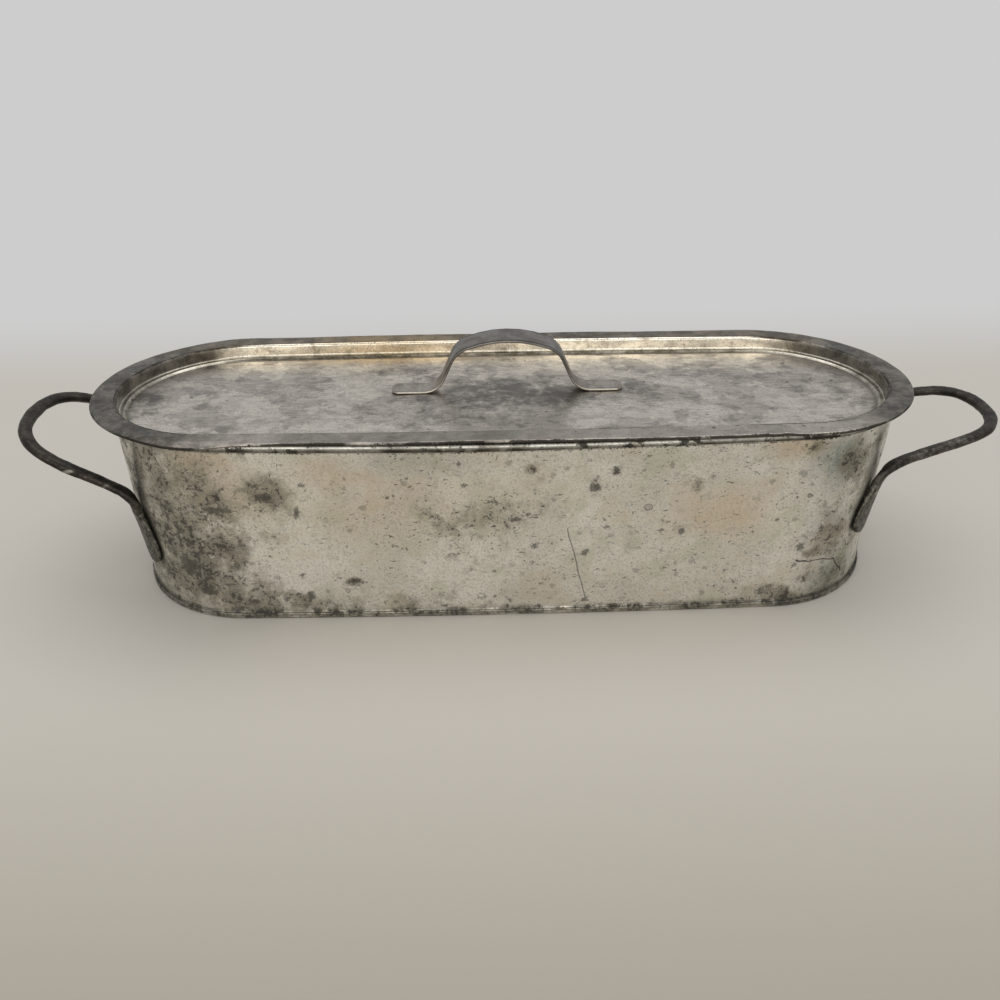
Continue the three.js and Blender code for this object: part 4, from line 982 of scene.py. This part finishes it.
def lid():
    """The lid as one skin: the underside of its sunk panel, out under the flange, round the
    folded edge, and back over the flange, down the recess and across the panel. Within an
    oval the panel waves by half a millimetre, and at the left front corner the flange sags."""
    sheet, bend, fold, outline = (LID[key] for key in ("sheet", "bend", "fold", "outline"))
    slant = (LID["step"] - 2 * bend * (1 - math.sqrt(0.5))) * math.sqrt(2)
    right, left = sheet_section(bent_line((-LID["hem"], sheet / 2), 0, [
        ("run", LID["hem"] - fold - sheet / 2, 3),
        ("bend", 180, fold),
        ("run", LID["flange"] - bend - fold - sheet / 2, 9),
        ("bend", 90, bend),
        ("run", LID["drop"] - 2 * bend, 4),
        ("bend", -90, bend),
        ("run", LID["ledge"], 2),
        ("bend", 45, bend),
        ("run", slant),
        ("bend", -45, bend),
    ]), sheet)
    way = round_way(56, 130)[:-1]
    # the right of the line is outside the fold, so it is the flange's upper face
    section = np.concatenate([left, right]) + [0, LID_FOOT]
    ring = carry_round(way, section, lambda z: outline)
    under = fill_in(way, section[0, 0], outline, section[0, 1], np.linspace(0, 1, 9)[:-1])
    panel = fill_in(way, section[-1, 0], outline, section[-1, 1], np.linspace(1, 0, 34)[1:])
    points = np.concatenate([under, ring, panel], 1)
    inward = 1 - np.hypot(*np.moveaxis(points[..., :2] / LID["wavy"], -1, 0))
    wave = ripple(points * [0.6, 1, 0], 70, 51) * 0.35 + ripple(points * [1, 1, 0], 28, 52) * 0.07
    points[..., 2] += wave * smooth(inward, 0.04, 0.3)
    # how far out each column lies, with the flat middles well inside the recess
    out = np.pad(section[:, 0], (under.shape[1], panel.shape[1]), constant_values=(
        section[0, 0] - 9, section[-1, 0] - 9))
    x, near = points[..., 0], points[..., 1] < 0
    sag = between(x, -262, -212, -206, -176) * near
    points[..., 2] -= 2.3 * sag * smooth(out, -5.5, -0.5)
    crease = hump(x, 178, 11) * near * smooth(out, -7, -3)
    points[..., 2] += crease * (0.5 + 0.5 * np.sin(x / 2.6))
    on_flange = smooth(out, -LID["flange"], -LID["flange"] + 3)
    points[..., 2] += on_flange * (0.1 + 0.14 * ripple(points * [1, 1, 0], 60, 53)
                                   + 0.05 * ripple(points * [1, 1, 0], 16, 54))
    points[..., 0] += LID["shift"]
    return points, grid_faces(points), lid_facts(points, out)


add_piece("lid_sheet", lid(), LID_TIN, "lid", "lid_pan")


def strap():
    """The strap: half its line is bent from the crown to a foot and mirrored, and the sheet's
    section, with its long edges folded under, is carried along it. It narrows towards the
    feet, and their corners are clipped."""
    crown_radius, crown_angle = STRAP["crown"]
    half = bent_line((0, 0), 0, [
        ("bend", -crown_angle, crown_radius),
        ("bend", crown_angle - STRAP["leg_angle"], STRAP["shoulder"]),
        ("run", STRAP["leg"], 6),
        ("bend", STRAP["leg_angle"], STRAP["foot"]),
        ("run", STRAP["foot_run"] - STRAP["corner"], 6),
        ("run", STRAP["corner"], 5),
    ])
    line = np.concatenate([half[1:][::-1] * [-1, 1, -1], half])
    along = np.concatenate([[0], np.cumsum(np.hypot(*np.diff(line[:, :2], axis=0).T))])
    x, y, turn = line.T
    rise = -y.min()
    width = blend(STRAP["foot_width"], STRAP["crown_width"], smooth((y + rise) / rise, 0, 1))
    to_end = np.minimum(along, along[-1] - along)
    width = width - 2 * STRAP["corner"] * (1 - np.clip(to_end / STRAP["corner"], 0, 1))
    sheet, fold = STRAP["sheet"], STRAP["fold"]
    reach = STRAP["foot_width"] / 2
    right, left = sheet_section(bent_line(
        (STRAP["hem"] - reach, -2 * fold), 180, [
            ("run", STRAP["hem"] - fold - sheet / 2, 2),
            ("bend", -180, fold),
            ("run", 2 * (reach - fold - sheet / 2), 8),
            ("bend", -180, fold),
            ("run", STRAP["hem"] - fold - sheet / 2, 2),
        ]), sheet)
    section = np.concatenate([right, left])
    spread = np.clip(section[:, 0] / (reach - STRAP["hem"]), -1, 1)
    across = section[None, :, 0] + spread * (width[:, None] - 2 * reach) / 2
    above = section[None, :, 1] + 0 * across
    lift = CLEAR + rise + 1.5 * sheet + y[:, None] + above * np.cos(turn)[:, None]
    points = np.stack([STRAP["x"] + x[:, None] - above * np.sin(turn)[:, None],
                       STRAP["y"] + across, PANEL_TOP + lift], -1)
    edge = np.abs(across) / (width[:, None] / 2)
    crown = smooth(lift, 9, 22)
    # Painted highlight along the near folded edge, fading up the legs and over the crown.
    rub = 1 - 0.45 * smooth(lift, 3.5, 7) - 0.45 * crown
    rub = rub * smooth(edge, 0.93, 0.99) * (across < 0)
    grime = (0.5 + 0.5 * crown) * between(edge, 0.84, 0.93, 0.95, 0.99)
    return points, tube_faces(points), {"rub": rub, "grime": grime, "crown": crown}


add_piece("strap_sheet", strap(), STRAP_SHEET, "lid", "lid_strap")


# The rack


def hole_places():
    """Middles of the rack's holes: rows at sixty degrees, less the places too near the rack's
    edge, a foot of a handle or a foot of the rack."""
    end_radius, end_x, side_radius, side_y = arcs(RACK_OUTLINE)
    rows, columns = 5, 19
    row, column = np.divmod(np.arange(rows * columns), columns)
    x = ((column - columns // 2) * RACK["pitch"]
         + np.where(row % 2 == 0, 1, -1) * RACK["pitch"] / 4)
    y = (row - rows // 2) * RACK["pitch"] * math.sin(math.radians(60))
    room = RACK["inset"] - RACK["hem"] / 2 - RACK["margin"] - RACK["hole"]
    in_end = (np.abs(x) < end_x) | (np.hypot(np.abs(x) - end_x, y) < end_radius + room)
    in_side = np.hypot(x, np.abs(y) - side_y) < side_radius + room
    fits = in_end & in_side
    reach = RACK["hole"] + RACK["apart"]
    for middle_x, middle_y, half_x, half_y in (
        (PAD_MIDDLE + HOOP["bend"], HOOP["half_span"], HOOP["pad"] / 2 + HOOP["bend"],
         HOOP["pad_width"] / 2),
        (*RACK_FOOT["at"], RACK_FOOT["reach"], RACK_FOOT["width"] / 2),
    ):
        fits &= ((np.abs(np.abs(x) - middle_x) > half_x + reach)
                 | (np.abs(np.abs(y) - middle_y) > half_y + reach))
    return np.stack([x, y], 1)[fits]


def upwards(points, faces):
    """Turns the faces over if the first of them looks down."""
    a, b, c = points.reshape(-1, 3)[faces[0, :3]]
    return faces if np.cross(b - a, c - a)[2] > 0 else faces[:, ::-1]


def rack_plate():
    """The pierced plate: the hem's section carried round, hole walls turned from a profile
    with rounded edges, and between them an upper and a lower face of triangles that share
    the points of their borders."""
    sheet, inset, hem = RACK["sheet"], RACK["inset"], RACK["hem"]
    fold = (sheet + CLEAR) / 2
    right, left = sheet_section(bent_line((inset - hem, -1.5 * sheet - CLEAR), 0, [
        ("run", hem - fold - sheet / 2, 2), ("bend", 180, fold), ("run", hem + 1.5, 2),
    ]), sheet)
    way = round_way(40, 90)[:-1]
    ring = carry_round(way, np.concatenate([right[::-1], left[::-1]]), lambda z: RACK_OUTLINE)
    sides, edge, nick = 28, 0.22, 0.06
    profile = np.array([(edge, 0), (nick, nick), (0, edge), (0, sheet - edge),
                        (nick, sheet - nick), (edge, sheet)])
    places = np.concatenate([hole_places(), RIVETS])
    radius = np.repeat([RACK["hole"], RIVET["hole"]], [len(places) - len(RIVETS), len(RIVETS)])
    around = circle(TAU * np.arange(sides) / sides)[:, None]
    across = (radius[:, None] + profile[:, 0])[:, None, :, None] * around
    walls = np.concatenate([
        places[:, None, None] + across,
        np.broadcast_to(-profile[:, 1], across.shape[:3])[..., None],
    ], -1)
    borders = np.concatenate([ring[:, 0, :2], walls[:, :, 0, :2].reshape(-1, 2)])
    count = len(way)
    edges = [(first + (i - 1) % sides, first + i)
             for first in range(count, len(borders), sides) for i in range(sides)]
    flat, _, triangles, *_ = delaunay_2d_cdt(
        [Vector(v) for v in borders.tolist()], edges, [list(range(count))], 1, 1e-5, False)
    flat = np.array([tuple(v) for v in flat])
    triangles = np.array(triangles)
    middle = flat[triangles].mean(1)
    gap = np.linalg.norm(middle[:, None] - places[None], axis=2) - radius
    triangles = triangles[(gap > 0).all(1)]
    triangles = np.concatenate([triangles, triangles[:, 2:]], 1)
    parts, faces, start = [], [], 0
    for cells, cell_faces in (
        (ring, grid_faces(ring)), *((hole, grid_faces(hole)) for hole in walls),
        (np.pad(flat, ((0, 0), (0, 1))), triangles),
    ):
        parts.append(cells.reshape(-1, 3))
        faces.append(upwards(cells, cell_faces) + start)
        start += len(parts[-1])
    parts.append(parts[-1] - [0, 0, sheet])
    faces.append(faces[-1][:, ::-1] + len(parts[-1]))
    points = np.concatenate(parts) + [0, 0, RACK["top"]]
    # it waves by a tenth of a millimetre, but not within 8 mm of its long edges
    sag = 0.1 * ripple(points * [1, 1, 0], 120, 61) * smooth(88 - np.abs(points[:, 1]), 8, 30)
    return points + sag[:, None] * [0, 0, 1], np.concatenate(faces), {}


def rack_hoop(side):
    """A handle of the rack: a flat pad with a rounded end, a quarter bend, an upright leg and
    a half circle across, mirrored."""
    seat = RACK["top"] + CLEAR + HOOP["pad_thickness"] / 2
    bend, span = HOOP["bend"], HOOP["half_span"]
    bend_x = HOOP_X - bend
    leg_top = RACK["top"] + HOOP["height"] - span
    share = np.linspace(0, 1, 12)[:-1]
    pad_x = bend_x - HOOP["pad"] + np.concatenate([
        share * HOOP["pad_width"] / 2,
        np.linspace(HOOP["pad_width"] / 2, HOOP["pad"], 6)[:-1],
    ])
    pad_share = np.concatenate([0.5 + 0.5 * np.sqrt(1 - (1 - share) ** 2), np.ones(5)])
    quarter = np.linspace(0, np.pi / 2, 14)
    leg_z = np.linspace(seat + bend, leg_top, 10)[1:-1]
    arch = np.linspace(0, np.pi / 2, 26)
    x = np.concatenate([pad_x, bend_x + bend * np.sin(quarter), HOOP_X + 0 * leg_z,
                        HOOP_X + 0 * arch])
    y = -span * np.concatenate([np.ones(len(pad_x) + len(quarter) + len(leg_z)), np.cos(arch)])
    z = np.concatenate([seat + 0 * pad_x, seat + bend * (1 - np.cos(quarter)), leg_z,
                        leg_top + span * np.sin(arch)])
    upright = np.ones(len(leg_z) + len(arch))
    turned = np.concatenate([0 * pad_x, np.sin(quarter) ** 2, upright])
    normal = np.stack([-turned, 0 * turned, 1 - turned], 1)
    narrow = np.concatenate([0 * pad_x, quarter / quarter[-1], upright])
    width = blend(HOOP["pad_width"], HOOP["bar"], narrow)
    width[:len(pad_share)] *= pad_share
    thickness = blend(HOOP["pad_thickness"], HOOP["bar"], narrow)
    points = bar_rings(np.stack([x, y, z], 1), normal, width, thickness,
                       blend(3.2, 2.0, narrow), 0 * narrow, 24) * [side, side, 1]
    lean = smooth(points[..., 2], leg_top - 30, leg_top + span) * side
    points[..., 0] += 0.6 * lean * np.sin(points[..., 1] / 20)
    return points, tube_faces(points), {}


def rack_rivet(x, y):
    """A rivet: the profile of a flat tail, a shank and a domed head turned round its line."""
    quarter = circle(np.linspace(0, np.pi / 2, 8))
    top, under = HOOP["pad_thickness"] + 2 * CLEAR, -RACK["sheet"] - CLEAR
    profile = np.concatenate([
        [0, under] + quarter[:, ::-1] * RIVET["tail"] * [1, -1],
        [(RIVET["shank"], under), (RIVET["shank"], top)],
        [0, top] + quarter * RIVET["head"],
    ])
    around = circle(TAU * np.arange(32) / 32)[:, None] * profile[:, :1]
    z = np.broadcast_to(RACK["top"] + profile[:, 1:], (*around.shape[:2], 1))
    points = np.concatenate([around + [x, y], z], -1)
    return points, grid_faces(points), {}


def rack_foot(x, y):
    """A foot: a strip bent down, along and up again, as a section drawn out to its width."""
    sheet, bend, pad = RACK_FOOT["sheet"], RACK_FOOT["bend"], RACK_FOOT["pad"]
    drop = RACK_FOOT["lift"] - 2 * CLEAR - sheet - 2 * bend
    right, left = sheet_section(bent_line((x - RACK_FOOT["reach"], -sheet / 2), 0, [
        ("run", pad), ("bend", -90, bend), ("run", drop, 3), ("bend", 90, bend),
        ("run", RACK_FOOT["sole"], 2),
        ("bend", 90, bend), ("run", drop, 3), ("bend", -90, bend), ("run", pad),
    ]), sheet)
    section = np.concatenate([right, left])
    across = y + RACK_FOOT["width"] * np.linspace(-0.5, 0.5, 5)[:, None]
    points = np.stack([section[:, 0] + 0 * across, across + 0 * section[:, 0],
                       RACK["top"] - RACK["sheet"] - CLEAR + section[:, 1] + 0 * across], -1)
    return points, tube_faces(points), {}


add_piece("rack_pierced_sheet", rack_plate(), RACK_TIN, "rack", "rack_plate")
for name, side in (("left", -1), ("right", 1)):
    add_piece(f"rack_hoop_{name}", rack_hoop(side), HOOP_TIN, "rack", f"rack_handle_{name}",
              50)
for number, place in enumerate(RIVETS, 1):
    add_piece(f"rack_rivet_head_{number}", rack_rivet(*place), RIVET_IRON, "rack",
              f"rack_rivet_{number}", 50)
for number, sides in enumerate(product((-1, 1), repeat=2), 1):
    add_piece(f"rack_strip_foot_{number}", rack_foot(*np.multiply(sides, RACK_FOOT["at"])),
              RACK_TIN, "rack", f"rack_foot_{number}")


def rim_wire():
    """The wire in the rim: a circle carried round inside the roll."""
    set_in = math.cos(math.radians(RIM["set_angle"]))
    x = ROLL * set_in - BODY["sheet"] / 2 - RIM["set_radius"] * (1 - set_in)
    section = [x, ROLL_Z] + RIM["wire"] / 2 * circle(TAU * np.arange(16) / 16)
    points = carry_round(round_way(48, 60)[:-1], section, body_outline)
    return points, grid_faces(points, True, True), {}


add_piece("rim_iron_wire", rim_wire(), WIRE, "kettle", "rim_wire", 60)


# Floor, lights and camera


def floor():
    """A pale floor, darkened a little towards the camera by painted shade. Behind the kettle and
    far off to the sides it turns to the even pale grey of a studio backdrop, for the camera
    and for what the metal mirrors."""
    mesh = bpy.data.meshes.new("floor")
    reach = 30.0
    mesh.from_pydata([(x * reach, y * reach, 0) for x, y in product((-1, 1), repeat=2)], [],
                     [(0, 2, 3, 1)])
    material, add, place, _ = start_material("pale_floor", 0.75, 0.0)
    tree = material.node_tree
    shader = tree.nodes["Principled BSDF"]
    y = add("SeparateXYZ", [place], "Y")
    # Painted shade: the floor's colour darkens towards the camera.
    near = add("MapRange", [y, -0.14, -0.46])
    tree.links.new(add("Mix", [near, "#c1bcb3", "#a29c8f"]), shader.inputs["Base Color"])
    share = most(add, add("MapRange", [y, 0.3, 0.62]),
                 add("MapRange", [add("VectorMath LENGTH", [place]), 0.8, 2.2]))
    glow = add("Emission", {"Color": "#cdcdcd", "Strength": 1.0})
    tree.links.new(add("MixShader", [share, shader.outputs[0], glow]),
                   tree.nodes["Material Output"].inputs["Surface"])
    mesh.materials.append(material)
    plane = bpy.data.objects.new("floor", mesh)
    bpy.context.scene.collection.objects.link(plane)


def lamp(name, place, target, size, watts, colour):
    """A square soft lamp that faces a target."""
    data = bpy.data.lights.new(name, "AREA")
    data.shape = "RECTANGLE"
    data.size, data.size_y = size
    data.energy = watts
    data.color = linear(colour)[:3]
    light = bpy.data.objects.new(name, data)
    light.location = place
    aim = Vector(target) - Vector(place)
    light.rotation_euler = aim.to_track_quat("-Z", "Y").to_euler()
    bpy.context.scene.collection.objects.link(light)


floor()
lamp("overhead", (0.1, 0.35, 1.9), (0, 0.1, 0.1), (2.2, 1.4), 15, "#ffffff")
lamp("front", (-0.4, -2.3, 1.15), (0, 0, 0.1), (2.6, 1.1), 21, "#fffcf8")

world = bpy.data.worlds.new("studio")
bpy.context.scene.world = world
world.use_nodes = True
world.node_tree.nodes["Background"].inputs["Color"].default_value = linear("#dcdcdc")
world.node_tree.nodes["Background"].inputs["Strength"].default_value = 0.85


def camera():
    """The photograph's camera: found from the outlines of the lid, the rim and the base."""
    yaw, pitch, roll = (math.radians(a) for a in (1.17, 29.90, -0.59))
    ahead = Vector((math.sin(yaw) * math.cos(pitch), math.cos(yaw) * math.cos(pitch),
                    -math.sin(pitch)))
    level = Vector((math.cos(yaw), -math.sin(yaw), 0))
    above = level.cross(ahead)
    right = level * math.cos(roll) + above * math.sin(roll)
    up = above * math.cos(roll) - level * math.sin(roll)
    data = bpy.data.cameras.new("camera")
    data.sensor_width = 36
    # a focal length of 913.96 pixels, in a picture 1000 pixels wide
    data.lens = 913.96 * data.sensor_width / 1000
    data.clip_start, data.clip_end = 0.01, 100
    eye = bpy.data.objects.new("camera", data)
    turn = Matrix((right, up, -ahead)).transposed().to_4x4()
    eye.matrix_world = Matrix.Translation((-0.01790, -0.63404, 0.40696)) @ turn
    bpy.context.scene.collection.objects.link(eye)
    bpy.context.scene.camera = eye


camera()
bpy.context.scene.view_settings.view_transform = "Standard"

bpy.context.view_layer.update()
